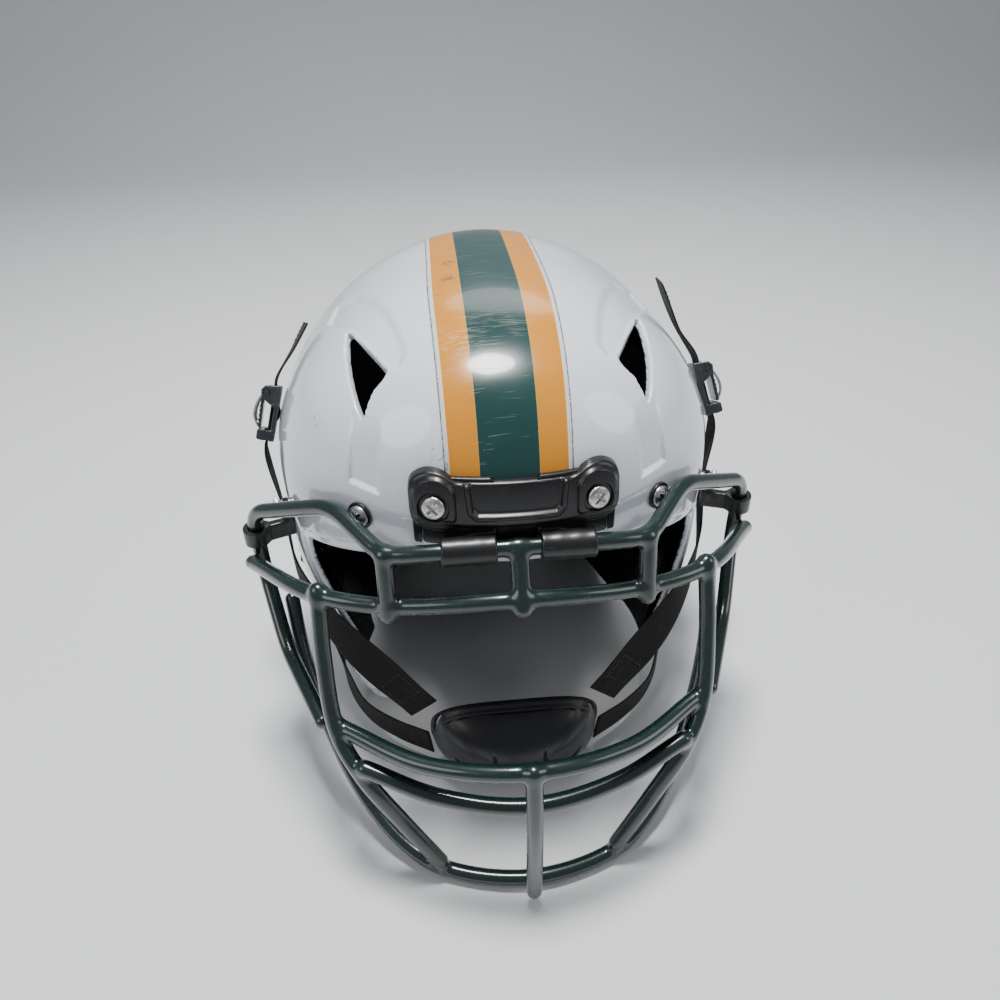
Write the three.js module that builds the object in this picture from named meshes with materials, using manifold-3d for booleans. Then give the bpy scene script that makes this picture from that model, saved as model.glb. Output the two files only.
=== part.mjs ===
// An american football helmet: a hard shell with padding, a wire face mask
// that swings on its brow clips, and a chin cup held by four buckled straps.
// Millimetres, +Z up. The face looks along -Y. While the pieces are built,
// the floor is z = 0 and the helmet's plane of symmetry is x = 0.
import * as THREE from 'three';
import { mergeVertices } from 'three/addons/utils/BufferGeometryUtils.js';
import Module from 'manifold-3d';

const wasm = await Module();
wasm.setup();

// ---- driving dimensions ----
const gap = 0.3;             // clearance between touching pieces

// the shell's outer form: how far it reaches from its middle
const sideReach = 121;
const frontReach = 148;
const backReach = 127;
const upReach = 112;
const jawReach = 192;        // downward, at the front
const napeReach = 158;       // downward, at the back
const middleY = 34.5;
const middleZ = 130;
const shellWall = 4;
const browRimHeight = 158;
const earHoleRadius = 15;
const earHoleY = 18;
const earHoleZ = 92;
const ventWidth = 18;        // base of each three-cornered front vent
const ventLength = 46;
const rearSlotWidth = 34;
const rearSlotHeight = 11;
const rearSlotX = 40;
const rearSlotZ = 158;

// face mask
const wireRadius = 3.8;
const browWireHeight = 163;
const maskForward = 52;      // mouth bars ahead of the brow wire
const eyeForward = 11.6;
const loopBack = 68;         // side loops behind the brow wire
const wireStandoff = 3;      // daylight between the mask's inner bends and the shell
const loopStandoff = 19;     // daylight between the side loops and the shell
const clipWall = 2.2;
const clipClearance = 0.35;
const browClipWidth = 23;
const browClipCentre = 20.5;

// fittings
const screwHeadRadius = 5;
const screwHeadHeight = 2.2;
const screwShank = 2.4;
const bumperThickness = 7;
const bumperHalfWidth = 43;
const bumperTop = 192;
const bumperScrewX = 32;
const bumperScrewZ = 179;
const rearBumperHalfWidth = 52;
const rearBumperHalfHeight = 15;
const rearBumperHeight = 60;
const rearBumperThickness = 5;
const rearScrewX = 30;
const templeScrewX = 65.5;
const templeScrewZ = 165;
const studRadius = 3.2;
const studBehindLoop = 18.5;
const studDrop = 29;         // below the brow wire
const wingLength = 11;
const wingThickness = 2.6;
const wingClearance = 1.1;   // lets the side clip tilt out from under a stud's wing
const clipPlate = 3;
const clipPlateWidth = 16;
const blockLength = 5;
const clipLift = 1.4;        // underside of the side clip's plate over the shell
const valveX = 45;
const valveZ = 188;
const upperPost = [121.5, 165];   // how far behind the shell's front, and how high
const lowerPost = [143.5, 56];
const postHeadRadius = 4.2;
const cheekThickness = 2;    // a buckle's side walls
const buckleLength = 30;
const buckleBase = 2.6;
const strapWidth = 19;
const strapThickness = 1.3;
const strapLift = 3.9;       // underside of the strap over the shell at a buckle

// chin cup
const cupHalfWidth = 45;
const cupDepth = 32;
const cupHeight = 26;
const cupWall = 2.4;
const cupPadThickness = 6;
const cupBehind = 16.5;      // middle of the cup behind the shell's front
const cupFloorGap = 1;

// padding and stripes
const padGap = 3;
const frontPadThickness = 15;
const crownPadThickness = 20;
const sidePadThickness = 19;
const backPadThickness = 20;
const jawPadThickness = 20;
const padPlans = {           // middle and half size, across and then along or up
  front: [0, 56, 171, 27],
  crown: [0, 46, 22, 62],
  back: [0, 46, 100, 46],
  side: [42, 48, 152, 34],
  jaw: [75.5, 21, 64, 30],   // measured from the shell's front
};
const stripeWidth = 55;
const stripeThickness = 0.4;
const stripeLift = 0.9;

// ---- finishes ----
const finishes = {
  shell: [0xe6ebf4, 0.18, 0],
  mask: [0x1c3a33, 0.3, 0.1],
  bumper: [0x17181b, 0.35, 0],
  steel: [0xb9bcc0, 0.3, 1],
  clip: [0x15161a, 0.4, 0],
  buckle: [0x2b2d33, 0.4, 0.3],
  strap: [0x1e1f22, 0.8, 0],
  cup: [0x26262a, 0.45, 0],
  pad: [0x1b1b1d, 0.9, 0],
  stripe: [0xd98a1c, 0.25, 0],
};
const helmet = new THREE.Group();

const place = (name, geometry, finish, parent = helmet) => {
  const [color, roughness, metalness] = finishes[finish];
  const material = new THREE.MeshStandardMaterial({ color, roughness, metalness });
  const mesh = new THREE.Mesh(geometry, material);
  mesh.name = name;
  parent.add(mesh);
  return mesh;
};

const sides = [['left', 1], ['right', -1]];   // the wearer looks along -Y, so left is +X
const vec = (x, y, z) => new THREE.Vector3(x, y, z);

// ---- solids: joining and cutting ----
const toSolid = (geometry) => {
  const bare = geometry.clone();
  bare.deleteAttribute('normal');
  bare.deleteAttribute('uv');
  const merged = mergeVertices(bare, 1e-4);
  const mesh = new wasm.Mesh({
    numProp: 3,
    vertProperties: new Float32Array(merged.attributes.position.array),
    triVerts: new Uint32Array(merged.index.array),
  });
  return new wasm.Manifold(mesh);
};

const toGeometry = (solid) => {
  const mesh = solid.getMesh();
  const geometry = new THREE.BufferGeometry();
  geometry.setAttribute('position', new THREE.BufferAttribute(mesh.vertProperties, 3));
  geometry.setIndex(new THREE.BufferAttribute(mesh.triVerts, 1));
  geometry.computeVertexNormals();
  return geometry;
};

const cut = (geometry, cutters) => cutters.reduce((solid, c) => solid.subtract(toSolid(c)), toSolid(geometry));
const join = (geometries) => geometries.map(toSolid).reduce((a, b) => a.add(b));

// mirror a geometry across x = 0 and keep its faces pointing out
const mirrored = (geometry) => {
  const copy = geometry.index ? geometry.toNonIndexed() : geometry.clone();
  copy.deleteAttribute('normal');
  copy.deleteAttribute('uv');
  const p = copy.attributes.position;
  for (let i = 0; i < p.count; i += 3) {
    const a = vec(-p.getX(i), p.getY(i), p.getZ(i));
    const b = vec(-p.getX(i + 1), p.getY(i + 1), p.getZ(i + 1));
    p.setXYZ(i, b.x, b.y, b.z);
    p.setXYZ(i + 1, a.x, a.y, a.z);
    p.setX(i + 2, -p.getX(i + 2));
  }
  const merged = mergeVertices(copy, 1e-4);
  merged.computeVertexNormals();
  return merged;
};

const placePair = (name, geometry, finish, parent = helmet) => {
  for (const [side, sign] of sides) {
    place(`${name}_${side}`, sign > 0 ? geometry : mirrored(geometry), finish, parent);
  }
};

// move every vertex of a geometry through a function of its position
const shaped = (geometry, move) => {
  const p = geometry.attributes.position;
  const point = new THREE.Vector3();
  for (let i = 0; i < p.count; i += 1) {
    point.fromBufferAttribute(p, i);
    const q = move(point);
    p.setXYZ(i, q.x, q.y, q.z);
  }
  geometry.deleteAttribute('normal');
  geometry.deleteAttribute('uv');
  const merged = mergeVertices(geometry, 1e-4);
  merged.computeVertexNormals();
  return merged;
};

// ---- the shell's form ----
const middle = vec(0, middleY, middleZ);
const smooth = (t) => t * t * (3 - 2 * t);

// distance from the middle to the form, grown by offset, along a unit direction
const formRadius = (d, offset) => {
  const frontShare = smooth((1 - d.y) / 2);
  const across = 1.92 + 0.2 * frontShare;     // squareness seen from above
  const around = 2.3 + 1.1 * frontShare;      // squareness seen from the side
  const reachY = (d.y < 0 ? frontReach : backReach) + offset;
  const reachDown = THREE.MathUtils.lerp(napeReach, jawReach, frontShare);
  const reachZ = (d.z > 0 ? upReach : reachDown) + offset;
  const ring = (Math.abs(d.y / reachY) ** around + Math.abs(d.z / reachZ) ** around) ** (across / around);
  const level = Math.abs(d.x / (sideReach + offset)) ** across + ring;
  return level ** (-1 / across);
};

const outside = (p, offset) => {
  const d = p.clone().sub(middle);
  const r = d.length();
  return r - formRadius(d.divideScalar(r), offset);
};

// first point of the form met from a start inside it
const meet = (start, direction, offset) => {
  let near = 0;
  let far = 400;
  for (let i = 0; i < 40; i += 1) {
    const half = (near + far) / 2;
    const p = start.clone().addScaledVector(direction, half);
    if (outside(p, offset) < 0) near = half;
    else far = half;
  }
  return start.clone().addScaledVector(direction, near);
};
const onFront = (x, z, offset) => meet(vec(x, middleY, z), vec(0, -1, 0), offset);
const onBack = (x, z, offset) => meet(vec(x, middleY, z), vec(0, 1, 0), offset);
const onTop = (x, y, offset) => meet(vec(x, y, middleZ), vec(0, 0, 1), offset);
const onSide = (y, z, offset) => meet(vec(0, y, z), vec(1, 0, 0), offset);

const normalAt = (p) => {
  const e = 0.5;
  const slope = (dx, dy, dz) => outside(p.clone().add(vec(dx, dy, dz)), 0)
    - outside(p.clone().sub(vec(dx, dy, dz)), 0);
  return vec(slope(e, 0, 0), slope(0, e, 0), slope(0, 0, e)).normalize();
};

// a frame on the form: z out of the shell, y as near to `along` as it can lie
const seatOn = (p, along) => {
  const out = normalAt(p);
  const cross = along.clone().cross(out).normalize();
  const up = out.clone().cross(cross);
  return new THREE.Matrix4().makeBasis(cross, up, out).setPosition(p);
};

// ---- section and profile helpers ----
const extrude = (shape, depth, curveSegments = 6) => new THREE.ExtrudeGeometry(shape, {
  depth, bevelEnabled: false, curveSegments,
});
// y-z outline extruded along x, centred on x = 0
const acrossX = (shape, width, curveSegments) => {
  const basis = new THREE.Matrix4().makeBasis(vec(0, 1, 0), vec(0, 0, 1), vec(1, 0, 0));
  return extrude(shape, width, curveSegments).translate(0, 0, -width / 2).applyMatrix4(basis);
};
const peg = (radius, z0, z1, sections = 12) => {
  const geometry = new THREE.CylinderGeometry(radius, radius, z1 - z0, sections);
  return geometry.rotateX(Math.PI / 2).translate(0, 0, (z0 + z1) / 2);
};
const roundedRect = (width, height, radius) => {
  const x = width / 2;
  const y = height / 2;
  const shape = new THREE.Shape();
  shape.moveTo(-x + radius, -y);
  shape.absarc(x - radius, -y + radius, radius, -Math.PI / 2, 0);
  shape.absarc(x - radius, y - radius, radius, 0, Math.PI / 2);
  shape.absarc(-x + radius, y - radius, radius, Math.PI / 2, Math.PI);
  shape.absarc(-x + radius, -y + radius, radius, Math.PI, 1.5 * Math.PI);
  return shape;
};

// ---- places shared by pieces that meet ----
const frontY = middleY - frontReach;
const behind = (distance) => frontY + distance;
const cupCentre = vec(0, behind(cupBehind), cupHeight + cupFloorGap);
const buckleWidth = strapWidth + 2 * (cheekThickness + 1);
const axisPoint = (() => {
  const front = onFront(0, browWireHeight, 0);
  return vec(0, front.y - gap - clipWall - clipClearance - wireRadius, browWireHeight);
})();
const studPlace = [axisPoint.y + loopBack + studBehindLoop, browWireHeight - studDrop];
const bumperScrewSeat = seatOn(onFront(bumperScrewX, bumperScrewZ, 0), vec(0, 0, 1));
const templeSeat = seatOn(onFront(templeScrewX, templeScrewZ, 0), vec(0, 0, 1));
const rearScrewSeat = seatOn(onBack(rearScrewX, rearBumperHeight + 2, 0), vec(0, 0, 1));
const upperPostSeat = seatOn(onSide(behind(upperPost[0]), upperPost[1], 0), vec(0.05, -0.42, -0.9));
const lowerPostSeat = seatOn(onSide(behind(lowerPost[0]), lowerPost[1], 0), vec(0, -0.93, -0.36));
const studSeat = seatOn(onSide(...studPlace, 0), vec(0, -1, 0));
const valveSeat = seatOn(onBack(valveX, valveZ, 0), vec(0, 0, 1));
const ventSeat = seatOn(meet(middle, vec(61.3, -91, 85.6).normalize(), 0), vec(0.24, 0.97, 0.09));

// ---- shell ----
const shellSide = () => {
  const shape = new THREE.Shape();
  const bendTo = (b0, z0, b1, z1) => shape.quadraticCurveTo(behind(b0), z0, behind(b1), z1);
  shape.moveTo(260, 0);
  shape.lineTo(72, 0);
  bendTo(153.5, 0, 118.5, 9);
  shape.lineTo(behind(63.5), 19);
  bendTo(27.5, 27, 23.5, 50);
  bendTo(27.5, 78, 61.5, 112);
  bendTo(67.5, 122, 55.5, 128);
  bendTo(25.5, 141, 17.5, 146);
  shape.lineTo(2 * frontY, browRimHeight + 6);
  shape.lineTo(2 * frontY, 320);
  shape.lineTo(260, 320);
  return shape;
};

const ventOutline = () => {
  const shape = new THREE.Shape();
  const base = -ventLength / 2;
  shape.moveTo(-ventWidth / 2, base);
  shape.quadraticCurveTo(0, base - 3, ventWidth / 2, base);
  shape.quadraticCurveTo(ventWidth / 2 + 1, base + 3, ventWidth / 2 - 1, base + 7);
  shape.lineTo(1.2, ventLength / 2);
  shape.quadraticCurveTo(0, ventLength / 2 + 1.5, -1.2, ventLength / 2);
  shape.lineTo(-ventWidth / 2 - 1, base + 5);
  return shape;
};

const shellCutters = () => {
  const through = (seat, radius) => peg(radius, -14, 10).applyMatrix4(seat);
  const rearSlot = extrude(roundedRect(rearSlotWidth, rearSlotHeight, 5), 40)
    .rotateX(-Math.PI / 2).translate(rearSlotX, middleY + backReach - 40, rearSlotZ);
  const oneSide = [
    through(bumperScrewSeat, screwShank + gap),
    through(templeSeat, screwShank + gap),
    through(rearScrewSeat, screwShank + gap),
    through(upperPostSeat, screwShank + gap),
    through(lowerPostSeat, screwShank + gap),
    through(studSeat, studRadius + gap),
    extrude(ventOutline(), 30).translate(0, 0, -16).applyMatrix4(ventSeat),
    peg(earHoleRadius, 0, 60, 20).rotateY(Math.PI / 2).translate(sideReach - 50, earHoleY, earHoleZ),
    rearSlot,
  ];
  return [
    ...oneSide,
    ...oneSide.map(mirrored),
    peg(4 + gap, -14, 10).applyMatrix4(valveSeat),
  ];
};

const makeShell = () => {
  const ball = () => new THREE.SphereGeometry(1, 32, 20).rotateZ(Math.PI / 2);
  const form = (offset) => shaped(ball(), (d) => middle.clone()
    .addScaledVector(d.normalize(), formRadius(d, offset)));
  const hollow = cut(form(0), [form(-shellWall), ...shellCutters()]);
  const kept = hollow.intersect(toSolid(acrossX(shellSide(), 2 * sideReach + 40, 5)));
  place('shell', toGeometry(kept), 'shell');
};

// ---- wrapped patches: bumpers, pads and the stripe ----
// u and v run from -1 to 1 over the patch, w from 0 (inner) to 1 (outer)
const patch = (nu, nv, move) => {
  const box = new THREE.BoxGeometry(2, 2, 1, nu, nv, 1);
  return shaped(box, (p) => move(p.x, p.y, p.z + 0.5));
};
// draw the square's corners in, so that the patch has a rounded outline
const roundU = (u, v, amount) => u * (1 - amount * v * v);
const roundV = (u, v, amount) => v * (1 - amount * u * u);

const bumperBody = (grown) => {
  const low = browWireHeight + wireRadius + clipClearance + clipWall + gap + 0.6 - grown;
  return patch(14, 6, (u, v, w) => {
    const x = roundU(u, v, 0.06) * (bumperHalfWidth + grown);
    const ear = smooth(Math.min(Math.max((Math.abs(u) - 0.45) / 0.15, 0), 1));
    const top = bumperTop + grown - 3.5 * (1 - ear);      // lower between the two ears
    const z = THREE.MathUtils.lerp(low, top, (roundV(u, v, 0.08) + 1) / 2);
    const rim = 1 - Math.max(u ** 8, v ** 8) * 0.35;
    const sunk = (1 - ear) * (1 - v ** 6) * 2;
    const p = onFront(x, z, 0);
    const lift = w > 0.5 ? bumperThickness * rim - sunk : gap - 2 * grown;
    return p.addScaledVector(normalAt(p), lift);
  });
};

const makeFrontBumper = () => {
  const geometry = bumperBody(0);
  const legPocket = clipLeg(gap);
  const screwHole = peg(screwShank + gap, -5, 20).applyMatrix4(bumperScrewSeat);
  const cutters = [legPocket, mirrored(legPocket), screwHole, mirrored(screwHole)];
  place('front_bumper', toGeometry(cut(geometry, cutters)), 'bumper');
};

const makeRearBumper = () => {
  const geometry = patch(10, 4, (u, v, w) => {
    const x = -roundU(u, v, 0.08) * rearBumperHalfWidth;
    const z = rearBumperHeight + roundV(u, v, 0.12) * rearBumperHalfHeight;
    const rim = 1 - Math.max(u ** 8, v ** 8) * 0.35;
    const p = onBack(x, z, 0);
    return p.addScaledVector(normalAt(p), w > 0.5 ? rearBumperThickness * rim : gap);
  });
  const screwHole = peg(screwShank + gap, -5, 20).applyMatrix4(rearScrewSeat);
  place('rear_bumper', toGeometry(cut(geometry, [screwHole, mirrored(screwHole)])), 'bumper');
};

// pan-head screw with a cross recess; z = 0 is the underside of the head
const screwBody = (length) => {
  const head = new THREE.LatheGeometry([
    new THREE.Vector2(0, -length),
    new THREE.Vector2(screwShank, -length),
    new THREE.Vector2(screwShank, 0),
    new THREE.Vector2(screwHeadRadius, 0),
    new THREE.Vector2(screwHeadRadius, screwHeadHeight * 0.45),
    new THREE.Vector2(screwHeadRadius * 0.62, screwHeadHeight),
    new THREE.Vector2(0, screwHeadHeight),
  ], 10).rotateX(Math.PI / 2);
  const bar = (w, h) => new THREE.BoxGeometry(w, h, 1.6).translate(0, 0, screwHeadHeight);
  return toGeometry(cut(head, [bar(4.6, 1.1), bar(1.1, 4.6)]));
};

const makeScrews = () => {
  const set = (name, seat, lift) => placePair(
    name, screwBody(lift + shellWall + 1).translate(0, 0, lift).applyMatrix4(seat), 'steel');
  set('front_bumper_screw', bumperScrewSeat, bumperThickness + gap);
  set('rear_bumper_screw', rearScrewSeat, rearBumperThickness + gap);
  set('temple_screw', templeSeat, gap);
};

// ---- face mask ----
const maskDrop = browWireHeight - wireRadius - 0.6;
const besideShell = (y, z, daylight) => {
  const p = onSide(y, z, 0);
  return p.setX(p.x + daylight + wireRadius);
};

// a straight-and-bent path: each inner corner is rounded
const bentPath = (points, radius) => {
  const path = new THREE.CurvePath();
  let from = points[0];
  for (let i = 1; i < points.length - 1; i += 1) {
    const corner = points[i];
    const back = points[i - 1].clone().sub(corner);
    const on = points[i + 1].clone().sub(corner);
    const reach = Math.min(radius, back.length() * 0.45, on.length() * 0.45);
    const a = corner.clone().addScaledVector(back.normalize(), reach);
    const b = corner.clone().addScaledVector(on.normalize(), reach);
    path.add(new THREE.LineCurve3(from, a));
    path.add(new THREE.QuadraticBezierCurve3(a, corner, b));
    from = b;
  }
  path.add(new THREE.LineCurve3(from, points[points.length - 1]));
  return path;
};

const wireSection = (() => {
  const shape = new THREE.Shape();
  const count = 8;
  for (let i = 0; i < count; i += 1) {
    const angle = (i / count) * 2 * Math.PI;
    const p = [wireRadius * Math.cos(angle), wireRadius * Math.sin(angle)];
    if (i === 0) shape.moveTo(...p);
    else shape.lineTo(...p);
  }
  return shape;
})();

const wire = (path, step = 6) => new THREE.ExtrudeGeometry(wireSection, {
  extrudePath: path,
  steps: Math.max(2, Math.round(path.getLength() / step)),
  bevelEnabled: false,
});

const mirrorPoint = (p) => vec(-p.x, p.y, p.z);
const wholeWidth = (half) => [...half.slice(1).reverse().map(mirrorPoint), ...half];

// a point of the mask: x, then forward of and below the brow wire
const onMask = (x, forward, share) => vec(x, axisPoint.y - forward, axisPoint.z - share * maskDrop);

const loopTop = besideShell(axisPoint.y + loopBack, browWireHeight - 20, loopStandoff);
const maskHalf = loopTop.x;
const across = (share) => share * maskHalf;
const uprightX = across(0.45);

const browPoints = (() => {
  const lowBend = onFront(uprightX - 4, browWireHeight - 3, wireRadius + 2.2);
  const highBend = besideShell(axisPoint.y + 33, browWireHeight + 4, wireStandoff);
  return [
    axisPoint.clone(),
    vec(browClipCentre + browClipWidth / 2 + 4, axisPoint.y, axisPoint.z),
    vec(uprightX, Math.min(lowBend.y, axisPoint.y + 4), browWireHeight - 3),
    highBend,
    loopTop,
    vec(maskHalf + 1.5, axisPoint.y + loopBack + 2, browWireHeight - 58),
    vec(maskHalf - 10, axisPoint.y + loopBack - 30, browWireHeight - 86),
    onMask(across(0.75), maskForward * 0.1, 0.57),
  ];
})();

const eyePoints = [
  onMask(0, eyeForward, 0.116),
  onMask(across(0.45), eyeForward - 11, 0.165),
  onMask(across(0.71), eyeForward - 24, 0.178),
  vec(maskHalf + 3.5, axisPoint.y + loopBack - 7, browWireHeight - 46),
];
const mainPoints = [
  onMask(across(0.7), -13.8, 0.172),
  onMask(across(0.705), maskForward * 0.03, 0.35),
  onMask(across(0.68), maskForward * 0.32, 0.535),
  onMask(across(0.6), maskForward * 0.56, 0.635),
  onMask(across(0.47), maskForward * 0.7, 0.81),
  onMask(across(0.345), maskForward * 0.82, 0.965),
];
const upperMouthPoints = [
  onMask(0, maskForward, 0.485),
  onMask(across(0.36), maskForward * 0.78, 0.515),
  onMask(across(0.66), maskForward * 0.3, 0.53),
];
const lowerMouthPoints = [
  onMask(0, maskForward * 0.97, 0.65),
  onMask(across(0.32), maskForward * 0.83, 0.64),
  onMask(across(0.585), maskForward * 0.57, 0.6),
];
const chinPoints = [
  onMask(0, maskForward, 1),
  onMask(across(0.32), maskForward * 0.84, 1),
  onMask(across(0.48), maskForward * 0.6, 0.975),
  onMask(across(0.64), maskForward * 0.19, 0.9),
  onMask(across(0.78), -maskForward * 0.33, 0.745),
  onMask(across(0.865), -maskForward * 0.78, 0.6),
  vec(maskHalf - 11, axisPoint.y + loopBack - 6, browWireHeight - 73),
];

// a wire between two others stops short of them by their radius
const shortOf = (points, startTrim, endTrim) => {
  const list = points.map((p) => p.clone());
  const n = list.length;
  const pull = (a, b, trim) => a.add(b.clone().sub(a).setLength(trim));
  if (startTrim) pull(list[0], list[1], startTrim);
  if (endTrim) pull(list[n - 1], list[n - 2], endTrim);
  return list;
};
const smoothPath = (points) => new THREE.CatmullRomCurve3(points, false, 'centripetal');
const weld = wireRadius + 0.9;

const makeMask = () => {
  place('mask_perimeter_wire', wire(bentPath(wholeWidth(browPoints), 11), 7.5), 'mask');
  place('mask_eye_wire', wire(smoothPath(wholeWidth(eyePoints)), 9), 'mask');
  const upright = (top, bottom) => wire(new THREE.LineCurve3(
    ...shortOf([top, bottom], weld, weld)), 12);
  place('mask_upright_centre', upright(browPoints[0], eyePoints[0]), 'mask');
  placePair('mask_upright', upright(browPoints[2], eyePoints[1]), 'mask');
  placePair('mask_main_wire', wire(smoothPath(shortOf(mainPoints, weld + 1.5, weld)), 9), 'mask');
  place('mask_upper_mouth_wire', wire(smoothPath(wholeWidth(shortOf(upperMouthPoints, 0, weld))), 8), 'mask');
  place('mask_lower_mouth_wire', wire(smoothPath(wholeWidth(shortOf(lowerMouthPoints, 0, weld))), 8), 'mask');
  place('mask_chin_wire', wire(smoothPath(wholeWidth(chinPoints)), 10), 'mask');
  const centre = [upperMouthPoints[0], onMask(0, maskForward * 0.97, 0.65), chinPoints[0]];
  const ahead = vec(0, -2 * wireRadius - 1.2, 0);
  const front = [
    centre[0].clone().add(vec(0, 0, -weld)),
    centre[1].clone().add(ahead),
    centre[2].clone().add(ahead),
  ];
  place('mask_centre_wire', wire(smoothPath(front), 8), 'mask');
};

// ---- mask clips ----
// the clip's leg lies on the shell behind the bumper; grown makes the bumper's pocket
function clipLeg(grown) {
  const inner = browClipCentre - browClipWidth / 2 - grown;
  const outer = bumperScrewX + screwHeadRadius + 1 + grown;
  const geometry = patch(4, 4, (u, v, w) => {
    const x = THREE.MathUtils.lerp(inner, outer, (u + 1) / 2);
    const z = THREE.MathUtils.lerp(browWireHeight + 1 - grown, bumperScrewZ + 7 + grown, (v + 1) / 2);
    const p = onFront(x, z, 0);
    return p.addScaledVector(normalAt(p), w > 0.5 ? gap + clipWall + grown : gap - grown * 4);
  });
  return geometry;
}

const makeBrowClips = () => {
  const outer = wireRadius + clipClearance + clipWall;
  const ring = new THREE.Shape();
  ring.absarc(0, 0, outer, 0, 2 * Math.PI);
  const bore = new THREE.Shape();
  bore.absarc(0, 0, wireRadius + clipClearance, 0, 2 * Math.PI);
  const along = (shape, width) => acrossX(shape, width, 6)
    .translate(browClipCentre, axisPoint.y, axisPoint.z);
  const shellForm = patch(4, 4, (u, v, w) => {
    const x = browClipCentre + u * 40;
    const z = browWireHeight + v * 30;
    const p = onFront(x, z, 0);
    return p.addScaledVector(normalAt(p), w > 0.5 ? gap : -20);
  });
  const body = join([along(ring, browClipWidth), clipLeg(0)])
    .subtract(toSolid(along(bore, browClipWidth + 60)))
    .subtract(toSolid(shellForm))
    .subtract(toSolid(peg(screwShank + gap, -5, 20).applyMatrix4(bumperScrewSeat)));
  placePair('brow_clip', toGeometry(body), 'clip');
};

// side clips hold the loops; each lies under the wing of its stud, and slides off once the
// stud is turned a quarter round
const makeSideClips = () => {
  const toSeat = studSeat.clone().invert();
  const low = browPoints[5].clone().applyMatrix4(toSeat);
  const high = browPoints[4].clone().applyMatrix4(toSeat);
  const barrelCentre = low.clone().lerp(high, 0.61);
  const turn = new THREE.Quaternion().setFromUnitVectors(vec(0, 0, 1), high.sub(low).normalize());
  const barrel = (radius, length) => peg(radius, -length / 2, length / 2, 12)
    .applyQuaternion(turn).translate(barrelCentre.x, barrelCentre.y, barrelCentre.z);
  const plateStart = studRadius + 2 * gap;
  const plateEnd = barrelCentre.y + blockLength / 2;
  const plate = extrude(roundedRect(clipPlateWidth, plateEnd - plateStart, 2), clipPlate, 3)
    .translate(0, (plateStart + plateEnd) / 2, clipLift);
  const block = new THREE.BoxGeometry(10, blockLength, barrelCentre.z - clipLift)
    .translate(barrelCentre.x, barrelCentre.y, (barrelCentre.z + clipLift) / 2);
  const body = join([plate, block, barrel(wireRadius + clipClearance + clipWall, 11)])
    .subtract(toSolid(barrel(wireRadius + clipClearance, 60)));
  placePair('side_clip', toGeometry(body).applyMatrix4(studSeat), 'clip');
};

const makeStuds = () => {
  const head = clipLift + clipPlate + wingClearance;
  const shank = peg(studRadius, -shellWall - 3, head + 0.5, 16);
  const wing = extrude(roundedRect(2 * studRadius + 0.8, wingLength, 3), wingThickness, 5)
    .translate(0, gap, head);
  const slot = new THREE.BoxGeometry(1.4, wingLength - 1, 2.4).translate(0, 1, head + wingThickness);
  const body = join([shank, wing]).subtract(toSolid(slot));
  placePair('quarter_turn_stud', toGeometry(body).applyMatrix4(studSeat), 'steel');
};

// ---- chin strap ----
const postBody = () => new THREE.LatheGeometry([
  new THREE.Vector2(0, -shellWall - 1),
  new THREE.Vector2(screwShank, -shellWall - 1),
  new THREE.Vector2(screwShank, gap),
  new THREE.Vector2(postHeadRadius, gap),
  new THREE.Vector2(postHeadRadius, 2),
  new THREE.Vector2(postHeadRadius - 1.2, 2.9),
  new THREE.Vector2(0, 2.9),
], 10).rotateX(Math.PI / 2);

const leverAxisHeight = strapLift + strapThickness + 0.4 + 2.6;
const leverAxisY = -buckleLength / 2 + 5;
const pinRadius = 1.5;

const buckleBody = () => {
  const base = extrude(roundedRect(buckleWidth, buckleLength, 4), buckleBase, 2).translate(0, 0, 1);
  const cheekOutline = new THREE.Shape();
  const y = leverAxisY;
  cheekOutline.moveTo(y - 4.5, 1.5);
  cheekOutline.lineTo(y + 7, 1.5);
  cheekOutline.lineTo(y + 3, leverAxisHeight);
  cheekOutline.absarc(y, leverAxisHeight, 3, 0, Math.PI);
  const cheek = (x) => acrossX(cheekOutline, cheekThickness, 5).translate(x, 0, 0);
  const cheekX = (buckleWidth - cheekThickness) / 2;
  const bridge = new THREE.BoxGeometry(buckleWidth - 1, 3, 2)
    .translate(0, buckleLength / 2 - 2.5, strapLift + strapThickness + 1.4);
  const leg = (x) => new THREE.BoxGeometry(cheekThickness, 3, 5)
    .translate(x, buckleLength / 2 - 2.5, strapLift - 0.1);
  const pinHole = peg(pinRadius + 0.12, -20, 20, 12).rotateY(Math.PI / 2)
    .translate(0, leverAxisY, leverAxisHeight);
  const socket = peg(postHeadRadius + 0.5, -2, 3.3, 12);
  const body = join([base, cheek(cheekX), cheek(-cheekX), bridge, leg(cheekX), leg(-cheekX)])
    .subtract(toSolid(pinHole))
    .subtract(toSolid(socket));
  return toGeometry(body);
};

const leverBody = () => {
  const inside = buckleWidth - 2 * cheekThickness - 0.8;
  const outline = new THREE.Shape();
  outline.absarc(leverAxisY, leverAxisHeight, 2.6, Math.PI / 2, 2 * Math.PI);
  outline.lineTo(leverAxisY + 2.6, leverAxisHeight + 0.9);
  outline.lineTo(buckleLength / 2 - 5.5, leverAxisHeight + 0.4);
  outline.lineTo(buckleLength / 2 - 4.5, leverAxisHeight + 2.2);
  outline.lineTo(leverAxisY, leverAxisHeight + 2.6);
  const pin = peg(pinRadius, -buckleWidth / 2, buckleWidth / 2, 12).rotateY(Math.PI / 2)
    .translate(0, leverAxisY, leverAxisHeight);
  return toGeometry(join([acrossX(outline, inside, 5), pin]));
};

const makeBuckles = () => {
  for (const [level, seat] of [['upper', upperPostSeat], ['lower', lowerPostSeat]]) {
    placePair(`${level}_snap_post`, postBody().applyMatrix4(seat), 'steel');
    placePair(`${level}_buckle`, buckleBody().applyMatrix4(seat), 'buckle');
    placePair(`${level}_buckle_lever`, leverBody().applyMatrix4(seat), 'buckle');
  }
};

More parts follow.
